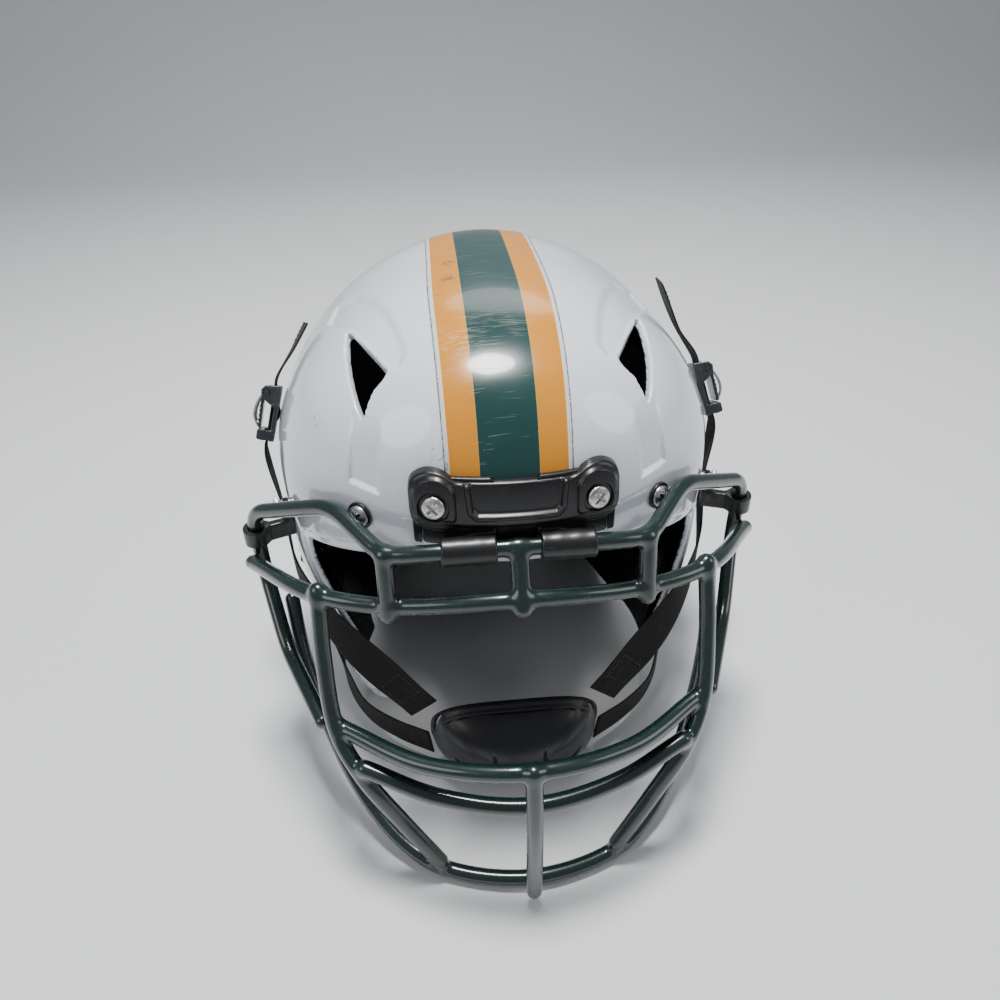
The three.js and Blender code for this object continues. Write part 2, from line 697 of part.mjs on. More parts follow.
// flat webbing through points, each with the direction its face looks
const band = (stations, width) => {
  const line = smoothPath(stations.map(([p]) => p));
  const facing = smoothPath(stations.map(([, n]) => n));
  const steps = Math.round(line.getLength() / 9);
  const box = new THREE.BoxGeometry(1, 1, 1, 1, 1, steps);
  return shaped(box, (p) => {
    const t = p.z + 0.5;
    const at = line.getPoint(t);
    const along = line.getTangent(t);
    const face = facing.getPoint(t);
    face.addScaledVector(along, -face.dot(along)).normalize();
    const side = face.clone().cross(along);
    return at.addScaledVector(side, p.x * width).addScaledVector(face, p.y * strapThickness);
  });
};

// tail is the free end of an upper strap: its place and how far it stands off the shell
const strapStations = (tail) => {
  const seated = (seat, y, more = 0) => {
    const lift = strapLift + strapThickness / 2 + more;
    return [vec(0, y, lift).applyMatrix4(seat), vec(0, 0, 1).transformDirection(seat)];
  };
  // a point over the shell, by its place behind the shell's front, its height and its lift
  const clear = (back, z, lift) => {
    const p = onSide(behind(back), z, 0);
    const n = normalAt(p);
    return [p.addScaledVector(n, lift), n];
  };
  const half = buckleLength / 2;
  const upperEar = vec(cupHalfWidth, cupCentre.y - 1, cupCentre.z + cupHeight * 0.55);
  const lowerEar = vec(cupHalfWidth - 3, cupCentre.y - 1, cupCentre.z - cupHeight * 0.45);
  return {
    upper: [
      clear(...tail), clear(137.5, 193, 4 + tail[2] * 0.12),
      seated(upperPostSeat, -half - 4), seated(upperPostSeat, -half + 2),
      seated(upperPostSeat, half - 2), seated(upperPostSeat, half + 4),
      clear(102.5, 117, 3), clear(74.5, 97, 4.6),
      [clear(51.5, 89, 4.4)[0], vec(0.8, -0.58, 0.1)],
      [clear(34.5, 76, 2.2)[0], vec(0.6, -0.64, 0.4)],
      [vec(across(0.52), behind(21.5), 62), vec(0.55, -0.6, 0.55)],
      [upperEar.clone().add(vec(2.5, 1, 1)), vec(0.6, -0.5, 0.6)],
    ],
    lower: [
      clear(165.5, 66, 5), seated(lowerPostSeat, -half - 4), seated(lowerPostSeat, -half + 2),
      seated(lowerPostSeat, half - 2), seated(lowerPostSeat, half + 4), clear(95.5, 32, 3),
      [vec(across(0.745), behind(61.5), 17), vec(0.9, -0.4, 0)],
      [vec(across(0.66), behind(43.5), 13), vec(0.8, -0.6, -0.1)],
      [vec(across(0.52), behind(27.5), 14), vec(0.5, -0.85, -0.1)],
      [lowerEar.clone().add(vec(3.5, 0, 0)), vec(0.6, -0.8, -0.1)],
    ],
  };
};

const makeStraps = () => {
  const highTail = strapStations([141.5, 211, 14]);
  const lowTail = strapStations([143.5, 203, 6]);
  place('upper_strap_left', band(highTail.upper, strapWidth), 'strap');
  place('upper_strap_right', mirrored(band(lowTail.upper, strapWidth)), 'strap');
  placePair('lower_strap', band(lowTail.lower, strapWidth), 'strap');
};

// the cup's form is square-shouldered above and rounder below
const cupForm = (shrink, sections = 18) => {
  const ball = shaped(new THREE.SphereGeometry(1, sections, sections * 0.6), (d) => {
    const square = d.z > 0 ? 3.4 : 2.2;
    const ring = (Math.abs(d.x) ** square + Math.abs(d.z) ** square) ** (2 / square);
    return d.clone().multiplyScalar((ring + d.y ** 2) ** -0.5);
  });
  return ball.scale(cupHalfWidth - shrink, cupDepth - shrink, cupHeight - shrink)
    .translate(cupCentre.x, cupCentre.y, cupCentre.z);
};

const makeChinCup = () => {
  const keepFront = (solid, back) => solid.trimByPlane([0, -0.96, -0.28],
    -0.96 * (cupCentre.y + back) - 0.28 * cupCentre.z);
  const crescent = new THREE.Shape();
  crescent.absarc(0, 0, 11, -2.3, -0.35);
  crescent.absarc(1.5, 3.4, 10.5, -0.6, -2.2, true);
  const opening = extrude(crescent, 60, 5).rotateX(Math.PI / 2)
    .translate(cupHalfWidth * 0.5, cupCentre.y + 10, cupCentre.z + 4);
  const shellCut = cut(cupForm(0), [cupForm(cupWall), opening, mirrored(opening)]);
  place('chin_cup_shell', toGeometry(keepFront(shellCut, 0)), 'cup');
  const padCut = cut(cupForm(cupWall + 2 * gap), [cupForm(cupWall + 2 * gap + cupPadThickness)]);
  place('chin_cup_pad', toGeometry(keepFront(padCut, -2)), 'pad');
};

// ---- padding ----
const pad = (surface, thickness, nu, nv, [middleA, halfA, middleB, halfB]) => patch(nu, nv, (u, v, w) => {
  const a = middleA + roundU(u, v, 0.12) * halfA;
  const b = middleB + roundV(u, v, 0.12) * halfB;
  const p = surface(a, b, 0);
  const crown = 1 - 0.45 * Math.max(u ** 4, v ** 4);
  const depth = w > 0.5 ? shellWall + padGap : shellWall + padGap + thickness * crown;
  return p.addScaledVector(normalAt(p), -depth);
});

const makePads = () => {
  const { front, crown, back, side, jaw } = padPlans;
  place('front_pad', pad(onFront, frontPadThickness, 8, 4, front), 'pad');
  place('crown_pad', pad(onTop, crownPadThickness, 6, 7, crown), 'pad');
  place('back_pad', pad((x, z) => onBack(-x, z, 0), backPadThickness, 6, 6, back), 'pad');
  placePair('side_pad', pad(onSide, sidePadThickness, 6, 5, side), 'pad');
  placePair('jaw_pad', pad((b, z) => onSide(behind(b), z, 0), jawPadThickness, 4, 5, jaw), 'pad');
};

const makeValve = () => {
  const valve = new THREE.LatheGeometry([
    new THREE.Vector2(0, -shellWall - 1.5),
    new THREE.Vector2(4, -shellWall - 1.5),
    new THREE.Vector2(4, gap),
    new THREE.Vector2(6.5, gap),
    new THREE.Vector2(6, 1.6),
    new THREE.Vector2(1.6, 1.6),
    new THREE.Vector2(1.2, -2),
    new THREE.Vector2(0, -2),
  ], 14).rotateX(Math.PI / 2);
  place('inflation_valve', valve.applyMatrix4(valveSeat), 'clip');
};

// the stripe decal follows the middle of the shell from the front bumper to the back
const makeStripe = () => {
  const front = onFront(0, bumperTop - 4, 0);
  const from = Math.atan2(front.z - middleZ, middleY - front.y);
  const to = 0.93 * Math.PI;
  const geometry = patch(4, 20, (u, v, w) => {
    const angle = THREE.MathUtils.lerp(from, to, (v + 1) / 2);
    const d = vec(0, -Math.cos(angle), Math.sin(angle));
    const p = middle.clone().addScaledVector(d, formRadius(d, 0));
    const start = vec(u * stripeWidth / 2, p.y, p.z).sub(d.multiplyScalar(40));
    const q = meet(start, d.normalize(), 0);
    return q.addScaledVector(normalAt(q), w > 0.5 ? stripeLift + stripeThickness : stripeLift);
  });
  place('stripe_decal', toGeometry(cut(geometry, [bumperBody(2 * gap)])), 'stripe');
};

makeShell();
makeFrontBumper();
makeRearBumper();
makeScrews();
makeMask();
makeBrowClips();
makeSideClips();
makeStuds();
makeBuckles();
makeStraps();
makeChinCup();
makePads();
makeValve();
makeStripe();

// the origin is the middle of the assembly's footprint
const box = new THREE.Box3().setFromObject(helmet, true);
const centre = box.getCenter(new THREE.Vector3());
helmet.position.set(-centre.x, -centre.y, -box.min.z);
helmet.updateMatrixWorld(true);

export default helmet;
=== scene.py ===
"""Looks of an american football helmet: shell, padding, wire face mask, chin cup and straps.

Shapes are worked out in millimetres in the helmet's own frame (plane of symmetry x = 0, floor
z = 0, face along -Y) and written to the row frame, in metres, when a piece is made. Hard pieces
are distance fields: negative inside, turned into a mesh by surface_of().
"""

import math

import bpy
import numpy as np
from mathutils import Matrix, Vector


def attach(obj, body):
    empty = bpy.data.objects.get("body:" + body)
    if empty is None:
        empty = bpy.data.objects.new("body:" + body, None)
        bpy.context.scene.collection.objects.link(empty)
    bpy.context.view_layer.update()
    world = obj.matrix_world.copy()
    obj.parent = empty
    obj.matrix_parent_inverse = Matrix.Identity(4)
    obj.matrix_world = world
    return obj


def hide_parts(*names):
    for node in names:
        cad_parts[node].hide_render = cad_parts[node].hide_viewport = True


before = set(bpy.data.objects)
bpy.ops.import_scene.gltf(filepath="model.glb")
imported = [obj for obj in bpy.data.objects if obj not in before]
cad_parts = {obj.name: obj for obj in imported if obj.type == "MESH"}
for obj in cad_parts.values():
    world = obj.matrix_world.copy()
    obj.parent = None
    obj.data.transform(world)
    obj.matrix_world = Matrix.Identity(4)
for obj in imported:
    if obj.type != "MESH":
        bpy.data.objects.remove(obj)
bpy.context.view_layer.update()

# ---- sizes shared with the CAD model, in mm ----
FOOTPRINT_MIDDLE = np.array([0.0, -11.28, 0.0])   # the row frame's origin in the helmet's frame
GAP = 0.3
MIDDLE = np.array([0.0, 34.5, 130.0])
SIDE, FRONT, BACK, UP, JAW, NAPE = 121.0, 148.0, 127.0, 112.0, 192.0, 158.0
WALL = 4.0
BROW_RIM = 158.0
WIRE = 3.8
BROW_Z = 163.0
MASK_FORWARD = 52.0
LOOP_BACK = 68.0
CLIP_WALL, CLIP_CLEARANCE = 2.2, 0.35
CLIP_CENTRE, CLIP_WIDTH = 20.5, 23.0
BUMPER = 7.0
BUMPER_SCREW = (32.0, 179.0)
BUMPER_TOP = 192.0
TEMPLE_SCREW = (65.5, 165.0)
# places on the shell: x and z on its front or back, y and z on a side
REAR_SCREW, VALVE = (30.0, 62.0), (45.0, 188.0)
UPPER_POST, LOWER_POST, STUD = (8.0, 165.0), (30.0, 56.0), (-33.0, 134.0)
EAR_HOLE, EAR_RADIUS = (18.0, 92.0), 15.0
REAR_SLOT, REAR_SLOT_HALF = (40.0, 158.0), (17.0, 5.5)
SCREW_HOLE, STUD_HOLE, VALVE_HOLE = 2.7, 3.5, 4.3
CLIP_LIFT, CLIP_PLATE, WING_CLEARANCE = 1.4, 3.0, 1.1
STRAP_WIDTH, STRAP_THICKNESS, STRAP_LIFT = 19.0, 1.3, 3.9
BUCKLE_WIDTH, BUCKLE_LENGTH = 25.0, 30.0
CUP_HALF, CUP_WALL = np.array([45.0, 32.0, 26.0]), 2.4
CUP_MIDDLE = np.array([0.0, -97.0, 27.0])


# ---- camera ----
def make_camera():
    yaw, pitch, roll = (math.radians(a) for a in (4.94, 34.6, -1.03))
    forward = Vector((math.sin(yaw) * math.cos(pitch), math.cos(yaw) * math.cos(pitch), -math.sin(pitch)))
    level = Vector((math.cos(yaw), -math.sin(yaw), 0))
    above = level.cross(forward)
    right = math.cos(roll) * level + math.sin(roll) * above
    up = -math.sin(roll) * level + math.cos(roll) * above
    data = bpy.data.cameras.new("camera")
    data.lens = 26.19
    data.sensor_width = 36
    camera = bpy.data.objects.new("camera", data)
    camera.matrix_world = Matrix((right, up, -forward)).transposed().to_4x4()
    camera.location = (-0.0275, -0.3411, 0.3484)
    bpy.context.scene.collection.objects.link(camera)
    bpy.context.scene.camera = camera


make_camera()


# ---- the shell's form ----
def smooth(t):
    t = np.clip(t, 0, 1)
    return t * t * (3 - 2 * t)


def unit(v):
    v = np.asarray(v, float)
    return v / np.linalg.norm(v, axis=-1, keepdims=True)


def form_radius(d, offset=0.0):
    """Distance from the middle to the form, grown by offset, along unit directions."""
    x, y, z = np.abs(d.T)
    front = smooth((1 - d[:, 1]) / 2)
    across = 1.92 + 0.2 * front
    around = 2.3 + 1.1 * front
    reach_y = np.where(d[:, 1] < 0, FRONT, BACK) + offset
    reach_z = np.where(d[:, 2] > 0, UP, NAPE + (JAW - NAPE) * front) + offset
    ring = ((y / reach_y) ** around + (z / reach_z) ** around) ** (across / around)
    return ((x / (SIDE + offset)) ** across + ring) ** (-1 / across)


def outside(p, offset=0.0):
    q = p - MIDDLE
    r = np.sqrt((q * q).sum(1)) + 1e-9
    return r - form_radius(q / r[:, None], offset)


def slope(field, p, e=0.4):
    """Gradient of a field by central differences."""
    steps = np.eye(3) * e
    return np.stack([field(p + s) - field(p - s) for s in steps], 1) / (2 * e)


def height(p):
    """Height over the shell's outer form, close to a true distance."""
    steepness = np.linalg.norm(slope(outside, p, 1.0), axis=1)
    return outside(p) / np.maximum(steepness, 0.5)


def meet(start, direction, offset=0.0):
    """First points of the form met from starts inside it."""
    start, direction = np.broadcast_arrays(np.atleast_2d(start).astype(float), np.atleast_2d(direction))
    near, far = np.zeros(len(start)), np.full(len(start), 400.0)
    for _ in range(36):
        half = (near + far) / 2
        inner = outside(start + direction * half[:, None], offset) < 0
        near, far = np.where(inner, half, near), np.where(inner, far, half)
    return start + direction * near[:, None]


def columns(*parts):
    return np.stack(np.broadcast_arrays(*[np.asarray(a, float) for a in parts]), -1).reshape(-1, 3)


def on_front(x, z, offset=0.0):
    return meet(columns(x, MIDDLE[1], z), (0, -1, 0), offset)


def on_back(x, z, offset=0.0):
    return meet(columns(x, MIDDLE[1], z), (0, 1, 0), offset)


def on_top(x, y, offset=0.0):
    return meet(columns(x, y, MIDDLE[2]), (0, 0, 1), offset)


def on_side(y, z, offset=0.0):
    return meet(columns(0, y, z), (1, 0, 0), offset)


def normals_at(p):
    return unit(slope(outside, np.atleast_2d(p), 0.5))


class Seat:
    """A frame on the shell: z out of it, y as near to `along` as it can lie."""

    def __init__(self, point, along):
        self.origin = np.asarray(point, float).reshape(3)
        out = normals_at(self.origin)[0]
        cross = unit(np.cross(along, out))
        self.axes = np.stack([cross, np.cross(out, cross), out], 1)

    def local(self, p):
        return (p - self.origin) @ self.axes

    def world(self, p):
        return np.asarray(p, float) @ self.axes.T + self.origin

    def turned(self, v):
        return np.asarray(v, float) @ self.axes.T


bumper_screw_seat = Seat(on_front(*BUMPER_SCREW), (0, 0, 1))
temple_seat = Seat(on_front(*TEMPLE_SCREW), (0, 0, 1))
rear_screw_seat = Seat(on_back(*REAR_SCREW), (0, 0, 1))
upper_post_seat = Seat(on_side(*UPPER_POST), (0.05, -0.42, -0.9))
lower_post_seat = Seat(on_side(*LOWER_POST), (0, -0.93, -0.36))
stud_seat = Seat(on_side(*STUD), (0, -1, 0))
valve_seat = Seat(on_back(*VALVE), (0, 0, 1))
vent_seat = Seat(meet(MIDDLE, unit((61.3, -91, 85.6))), (0.24, 0.97, 0.09))


# ---- distance fields ----
def smax(a, b, k):
    """The larger of two fields, its edge rounded over about k."""
    h = np.maximum(k - np.abs(a - b), 0) / k
    return np.maximum(a, b) + h * h * k / 4


def smin(a, b, k):
    return -smax(-a, -b, k)


def rect(x, y, half_x, half_y, radius=0.0):
    qx, qy = np.abs(x) - half_x + radius, np.abs(y) - half_y + radius
    return np.minimum(np.maximum(qx, qy), 0) + np.hypot(np.maximum(qx, 0), np.maximum(qy, 0)) - radius


def slab(z, low, high):
    return np.abs(z - (low + high) / 2) - (high - low) / 2


def polygon(x, y, corners):
    """Signed distance to a closed outline."""
    corners = np.asarray(corners, float)
    best = np.full(np.shape(x), np.inf)
    inner = np.zeros(np.shape(x), bool)
    for (ax, ay), (bx, by) in zip(corners, np.roll(corners, -1, 0)):
        ex, ey, wx, wy = bx - ax, by - ay, x - ax, y - ay
        t = np.clip((wx * ex + wy * ey) / (ex * ex + ey * ey), 0, 1)
        best = np.minimum(best, (wx - ex * t) ** 2 + (wy - ey * t) ** 2)
        crosses = (ay > y) != (by > y)
        with np.errstate(divide="ignore", invalid="ignore"):
            inner ^= crosses & (x < ex * (y - ay) / ey + ax)
    return np.where(inner, -1, 1) * np.sqrt(best)


def bezier(a, b, c, count=8):
    t = np.linspace(0, 1, count + 1)[1:, None]
    a, b, c = (np.asarray(v, float) for v in (a, b, c))
    return a * (1 - t) ** 2 + 2 * b * t * (1 - t) + c * t * t


def near_segment(p, a, b):
    e = b - a
    t = np.clip((p - a) @ e / (e @ e), 0, 1)
    return np.linalg.norm(p - a - t[:, None] * e, axis=1)


# ---- meshing a field ----
def sample(field, low, high, step):
    """The field on a grid. Blocks that the surface can't reach get a constant."""
    block = 12
    low = np.asarray(low, float)
    blocks = np.ceil((np.asarray(high, float) - low) / step / block).astype(int)
    values = np.empty(blocks * block, np.float32)
    corners = np.stack(np.meshgrid(*[np.arange(n) for n in blocks], indexing="ij"), -1).reshape(-1, 3) * block
    centres = low + (corners + (block - 1) / 2) * step
    at_centre = field(centres)
    reach = 1.7 * block * step * math.sqrt(3) / 2
    inside = np.stack(np.meshgrid(*[np.arange(block)] * 3, indexing="ij"), -1).reshape(-1, 3)
    near = np.abs(at_centre) < reach
    batch = 300
    wanted = np.flatnonzero(near)
    found = {}
    for start in range(0, len(wanted), batch):
        part = wanted[start:start + batch]
        p = low + (corners[part][:, None] + inside[None]) * step
        found.update(zip(part, field(p.reshape(-1, 3)).reshape(len(part), block, block, block)))
    for i, (a, b, c) in enumerate(corners):
        values[a:a + block, b:b + block, c:c + block] = found.get(i, at_centre[i])
    return values


CUBE = np.array([[i, j, k] for i in (0, 1) for j in (0, 1) for k in (0, 1)])
EDGES = [(a, b) for a in range(8) for b in range(a + 1, 8) if abs(CUBE[a] - CUBE[b]).sum() == 1]


def net(values):
    """Quads over the zero level of a grid, one vertex in each cell that it passes through."""
    part = [values[tuple(slice(o, n - 1 + o) for o, n in zip(c, values.shape))] for c in CUBE]
    count = sum((v < 0).astype(np.int8) for v in part)
    mixed = (count > 0) & (count < 8)
    cells = np.argwhere(mixed)
    index = np.full(mixed.shape, -1)
    index[mixed] = np.arange(len(cells))
    corner = np.stack([v[mixed] for v in part], 1).astype(float)
    total, crossings = np.zeros((len(cells), 3)), np.zeros(len(cells))
    for a, b in EDGES:
        va, vb = corner[:, a], corner[:, b]
        hit = (va < 0) != (vb < 0)
        t = np.where(hit, va / np.where(hit, va - vb, 1), 0)
        total += hit[:, None] * (CUBE[a] + t[:, None] * (CUBE[b] - CUBE[a]))
        crossings += hit
    verts = cells + total / crossings[:, None]
    quads = []
    for axis in range(3):
        u, v = (axis + 1) % 3, (axis + 2) % 3
        first = np.take(values, range(values.shape[axis] - 1), axis) < 0
        second = np.take(values, range(1, values.shape[axis]), axis) < 0
        at = np.argwhere(first != second)
        at = at[(at[:, u] > 0) & (at[:, v] > 0) & (at[:, u] < mixed.shape[u]) & (at[:, v] < mixed.shape[v])]
        ring = []
        for du, dv in ((1, 1), (0, 1), (0, 0), (1, 0)):
            cell = at.copy()
            cell[:, u] -= du
            cell[:, v] -= dv
            ring.append(index[tuple(cell.T)])
        ring = np.stack(ring, 1)
        outward = first[tuple(at.T)]
        quads.append(np.where(outward[:, None], ring, ring[:, ::-1]))
    return verts, np.concatenate(quads)


def surface_of(field, low, high, step, settle=2):
    """(vertices, quads, normals) of a field's surface in a box."""
    verts, quads = net(sample(field, low, high, step))
    verts = np.asarray(low, float) + verts * step
    e = 0.15 * step
    for _ in range(settle):
        g = slope(field, verts, e)
        move = -(field(verts) / np.maximum((g * g).sum(1), 0.2))[:, None] * g
        verts = verts + move * np.minimum(1, step / (np.linalg.norm(move, axis=1, keepdims=True) + 1e-9))
    return verts, quads, unit(slope(field, verts, e) + 1e-9)


def seated(geometry, seat, lift=0.0):
    """Geometry made in a seat's own frame, placed on the helmet."""
    verts, quads, *rest = geometry
    return (seat.world(verts + np.array([0, 0, lift])), quads, *[seat.turned(n) for n in rest])


def seated_surface(field, seat, low, high, step):
    return seated(surface_of(field, low, high, step), seat)


# ---- meshes built directly ----
def grid_quads(rows, cols, closed=False):
    """Quads of a rows x cols grid of points; closed joins the last column to the first."""
    r, c = np.meshgrid(np.arange(rows - 1), np.arange(cols if closed else cols - 1), indexing="ij")
    n = (c + 1) % cols
    return np.stack([r * cols + c, r * cols + n, (r + 1) * cols + n, (r + 1) * cols + c], -1).reshape(-1, 4)


def swept(line, outline_of):
    """Rings of points along a line, ends closed by a small cap. Returns vertices and faces."""
    rings = [outline_of(i) for i in range(len(line))]
    cols = len(rings[0])
    caps = [np.repeat(rings[0].mean(0)[None], cols, 0), np.repeat(rings[-1].mean(0)[None], cols, 0)]
    verts = np.concatenate([caps[0], *rings, caps[1]])
    return oriented(verts, grid_quads(len(line) + 2, cols, True))


def closed_sheet(top, under, rows, cols):
    """Two grids of points joined into a closed solid, and the places of its rim's points."""
    size = rows * cols
    grid = np.arange(size).reshape(rows, cols)
    rim = np.concatenate([grid[0, :], grid[1:, -1], grid[-1, -2::-1], grid[-2:0:-1, 0]])
    after = np.roll(rim, -1)
    walls = np.stack([rim, rim + size, after + size, after], 1)
    face = grid_quads(rows, cols)
    quads = np.concatenate([face, face[:, ::-1] + size, walls])
    return oriented(np.concatenate([top, under]), quads), rim


def oriented(verts, quads):
    """Turns every face so that the solid's volume is positive."""
    a, b, c, d = (verts[quads[:, i]] for i in range(4))
    volume = (a * np.cross(b, c)).sum() + (a * np.cross(c, d)).sum()
    return verts, quads if volume > 0 else quads[:, ::-1]


def frames_along(line, facing=None):
    """Two steady directions square to a line of points, at each point: its face and its side."""
    tangent = unit(np.gradient(line, axis=0))
    if facing is not None:
        face = unit(facing - (facing * tangent).sum(1)[:, None] * tangent)
        return face, np.cross(face, tangent)
    face = [unit(np.cross(tangent[0], (0.3, 0.2, 0.9)))]
    for t in tangent[1:]:
        face.append(unit(face[-1] - face[-1] @ t * t))
    face = np.array(face)
    return face, np.cross(face, tangent)


def tube(line, radius, sections=12):
    line = np.asarray(line, float)
    face, side = frames_along(line)
    angle = np.linspace(0, 2 * np.pi, sections, endpoint=False)[:, None]

    def ring(i):
        return line[i] + radius * (np.cos(angle) * face[i] + np.sin(angle) * side[i])
    return swept(line, ring)


def catmull(points, step=2.0):
    """Centripetal curve through points, as evenly stepped points."""
    p = np.asarray(points, float)
    p = np.vstack([2 * p[0] - p[1], p, 2 * p[-1] - p[-2]])
    out = []
    for i in range(1, len(p) - 2):
        p0, p1, p2, p3 = p[i - 1:i + 3, :]
        d0, d1, d2 = (np.linalg.norm(b[:3] - a[:3]) ** 0.5 for a, b in ((p0, p1), (p1, p2), (p2, p3)))
        t1 = ((p1 - p0) / d0 - (p2 - p0) / (d0 + d1) + (p2 - p1) / d1) * d1
        t2 = ((p2 - p1) / d1 - (p3 - p1) / (d1 + d2) + (p3 - p2) / d2) * d1
        t = np.linspace(0, 1, max(2, int(d1 * d1 / step)), endpoint=False)[:, None]
        out.append(p1 + t1 * t + (3 * (p2 - p1) - 2 * t1 - t2) * t ** 2 + (2 * (p1 - p2) + t1 + t2) * t ** 3)
    return np.vstack([*out, p[-2]])


def bent(points, radius):
    """A path of straights whose corners are rounded."""
    points = [np.asarray(p, float) for p in points]
    out = [points[0][None]]
    for before, corner, after in zip(points, points[1:], points[2:]):
        back, on = before - corner, after - corner
        reach = min(radius, 0.45 * np.linalg.norm(back), 0.45 * np.linalg.norm(on))
        a, b = corner + unit(back) * reach, corner + unit(on) * reach
        out += [a[None], bezier(a, corner, b)]
    return np.vstack([*out, points[-1][None]])


def mirror(geometry):
    verts, quads, *rest = geometry
    flip = np.array([-1.0, 1, 1])
    return (verts * flip, quads[:, ::-1], *[n * flip for n in rest])


# ---- making Blender objects ----
def add_mesh(name, geometry, material, uv=None, marks=None):
    """A mesh object in the row frame from geometry in the helmet's frame."""
    verts, quads, *rest = geometry
    normals = rest[0] if rest else None
    mesh = bpy.data.meshes.new(name)
    placed = (verts - FOOTPRINT_MIDDLE) * 0.001
    mesh.vertices.add(len(placed))
    mesh.vertices.foreach_set("co", placed.astype(np.float32).ravel())
    mesh.loops.add(quads.size)
    mesh.loops.foreach_set("vertex_index", np.ascontiguousarray(quads).astype(np.int32).ravel())
    mesh.polygons.add(len(quads))
    mesh.polygons.foreach_set("loop_start", np.arange(0, quads.size, 4, dtype=np.int32))
    mesh.polygons.foreach_set("loop_total", np.full(len(quads), 4, np.int32))
    if uv is not None:
        layer = mesh.uv_layers.new(name="UVMap")
        layer.data.foreach_set("uv", uv[quads.ravel()].astype(np.float32).ravel())
    if marks is not None:
        attribute = mesh.attributes.new("marks", "FLOAT", "POINT")
        attribute.data.foreach_set("value", marks.astype(np.float32))
    mesh.update(calc_edges=True)
    mesh.validate()
    mesh.shade_smooth()
    if normals is not None:
        mesh.normals_split_custom_set_from_vertices(normals.astype(np.float32))
    mesh.materials.append(material)
    obj = bpy.data.objects.new(name, mesh)
    bpy.context.scene.collection.objects.link(obj)
    return obj


def put(name, geometry, material, body, slot, nodes=(), **more):
    """A piece that rides on a body, stands for CAD nodes and takes the material it is given; slot is not
    used.
    """
    obj = add_mesh(name, geometry, material, **more)
    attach(obj, body)
    if nodes:
        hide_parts(*nodes)
    return obj


def put_pair(name, geometry, material, body, slot, node="", **more):
    """The left piece and its mirror image. A body or node name ending in _ takes the side's name."""
    for side, shape in (("left", geometry), ("right", mirror(geometry))):
        rides = body + side if body.endswith("_") else body
        nodes = [f"{node}_{side}"] if node else []
        put(f"{name}_{side}", shape, material, rides, slot, nodes, **more)


# ---- materials ----
class Finish:
    """A principled material and short ways to add nodes to it."""

    def __init__(self, name, **sockets):
        self.material = bpy.data.materials.new(name)
        self.material.use_nodes = True
        self.tree = self.material.node_tree
        self.shader = self.tree.nodes["Principled BSDF"]
        for socket, value in sockets.items():
            self.shader.inputs[socket.replace("_", " ")].default_value = value
        coordinates = self.tree.nodes.new("ShaderNodeTexCoord")
        self.place = coordinates.outputs["Object"]
        self.uv = coordinates.outputs["UV"]

    def node(self, kind, inputs=(), **settings):
        made = self.tree.nodes.new("ShaderNode" + kind)
        for key, value in settings.items():
            setattr(made, key, value)
        for key, value in dict(inputs).items():
            if isinstance(value, bpy.types.NodeSocket):
                self.tree.links.new(value, made.inputs[key])
            else:
                made.inputs[key].default_value = value
        return made

    def math(self, operation, a, b=0.0, c=0.0):
        return self.node("Math", {0: a, 1: b, 2: c}, operation=operation).outputs[0]

    def times(self, a, b):
        return self.math("MULTIPLY", a, b)

    def noise(self, scale, detail=3.0, roughness=0.5, at=None, stretch=None):
        at = at or self.place
        if stretch:
            at = self.node("Mapping", {"Vector": at, "Scale": stretch[0], "Rotation": stretch[1]}).outputs[0]
        return self.node("TexNoise", {"Vector": at, "Scale": scale, "Detail": detail,
                                      "Roughness": roughness}).outputs["Fac"]

    def window(self, value, low, high):
        """0 below low, 1 above high."""
        made = self.node("MapRange", {"Value": value, "From Min": low, "From Max": high},
                         interpolation_type="SMOOTHSTEP")
        return made.outputs[0]

    def mix(self, share, a, b):
        made = self.node("Mix", {"Factor": share}, data_type="RGBA")
        for socket, value in ((made.inputs[6], a), (made.inputs[7], b)):
            if isinstance(value, bpy.types.NodeSocket):
                self.tree.links.new(value, socket)
            else:
                socket.default_value = (*value, 1.0)
        return made.outputs[2]

    def between(self, share, low, high):
        return self.node("MapRange", {"Value": share, "To Min": low, "To Max": high}).outputs[0]

    def bump(self, value, depth_mm, under=None):
        inputs = {"Height": value, "Distance": depth_mm * 0.001, "Strength": 1.0}
        if under:
            inputs["Normal"] = under
        return self.node("Bump", inputs).outputs[0]

    def set(self, socket, value):
        self.tree.links.new(value, self.shader.inputs[socket])

    def scratches(self, scale=26.0, amount=0.66, turns=((0.3, 0.2, 0.5), (0.9, 0.4, 1.9), (0.1, 1.2, 2.6))):
        """Thin short lines in a few directions, 1 on a line."""
        total = None
        for turn in turns:
            line = self.noise(scale, 2.0, 0.6, stretch=((1.0, 38.0, 12.0), turn))
            patchy = self.noise(scale * 0.7, 1.0, 0.5, stretch=((1.0, 1.0, 1.0), turn))
            line = self.times(self.window(line, amount, amount + 0.035), self.window(patchy, 0.5, 0.62))
            total = line if total is None else self.math("MAXIMUM", total, line)
        return total

    def spot(self, centre_mm, radius_mm):
        """1 at a place on the helmet, 0 outside the radius."""
        centre = [(a - b) * 0.001 for a, b in zip(centre_mm, FOOTPRINT_MIDDLE)]
        away = self.node("VectorMath", {0: self.place, 1: centre}, operation="DISTANCE").outputs["Value"]
        return self.math("SUBTRACT", 1.0, self.window(away, 0.0004 * radius_mm, 0.001 * radius_mm))


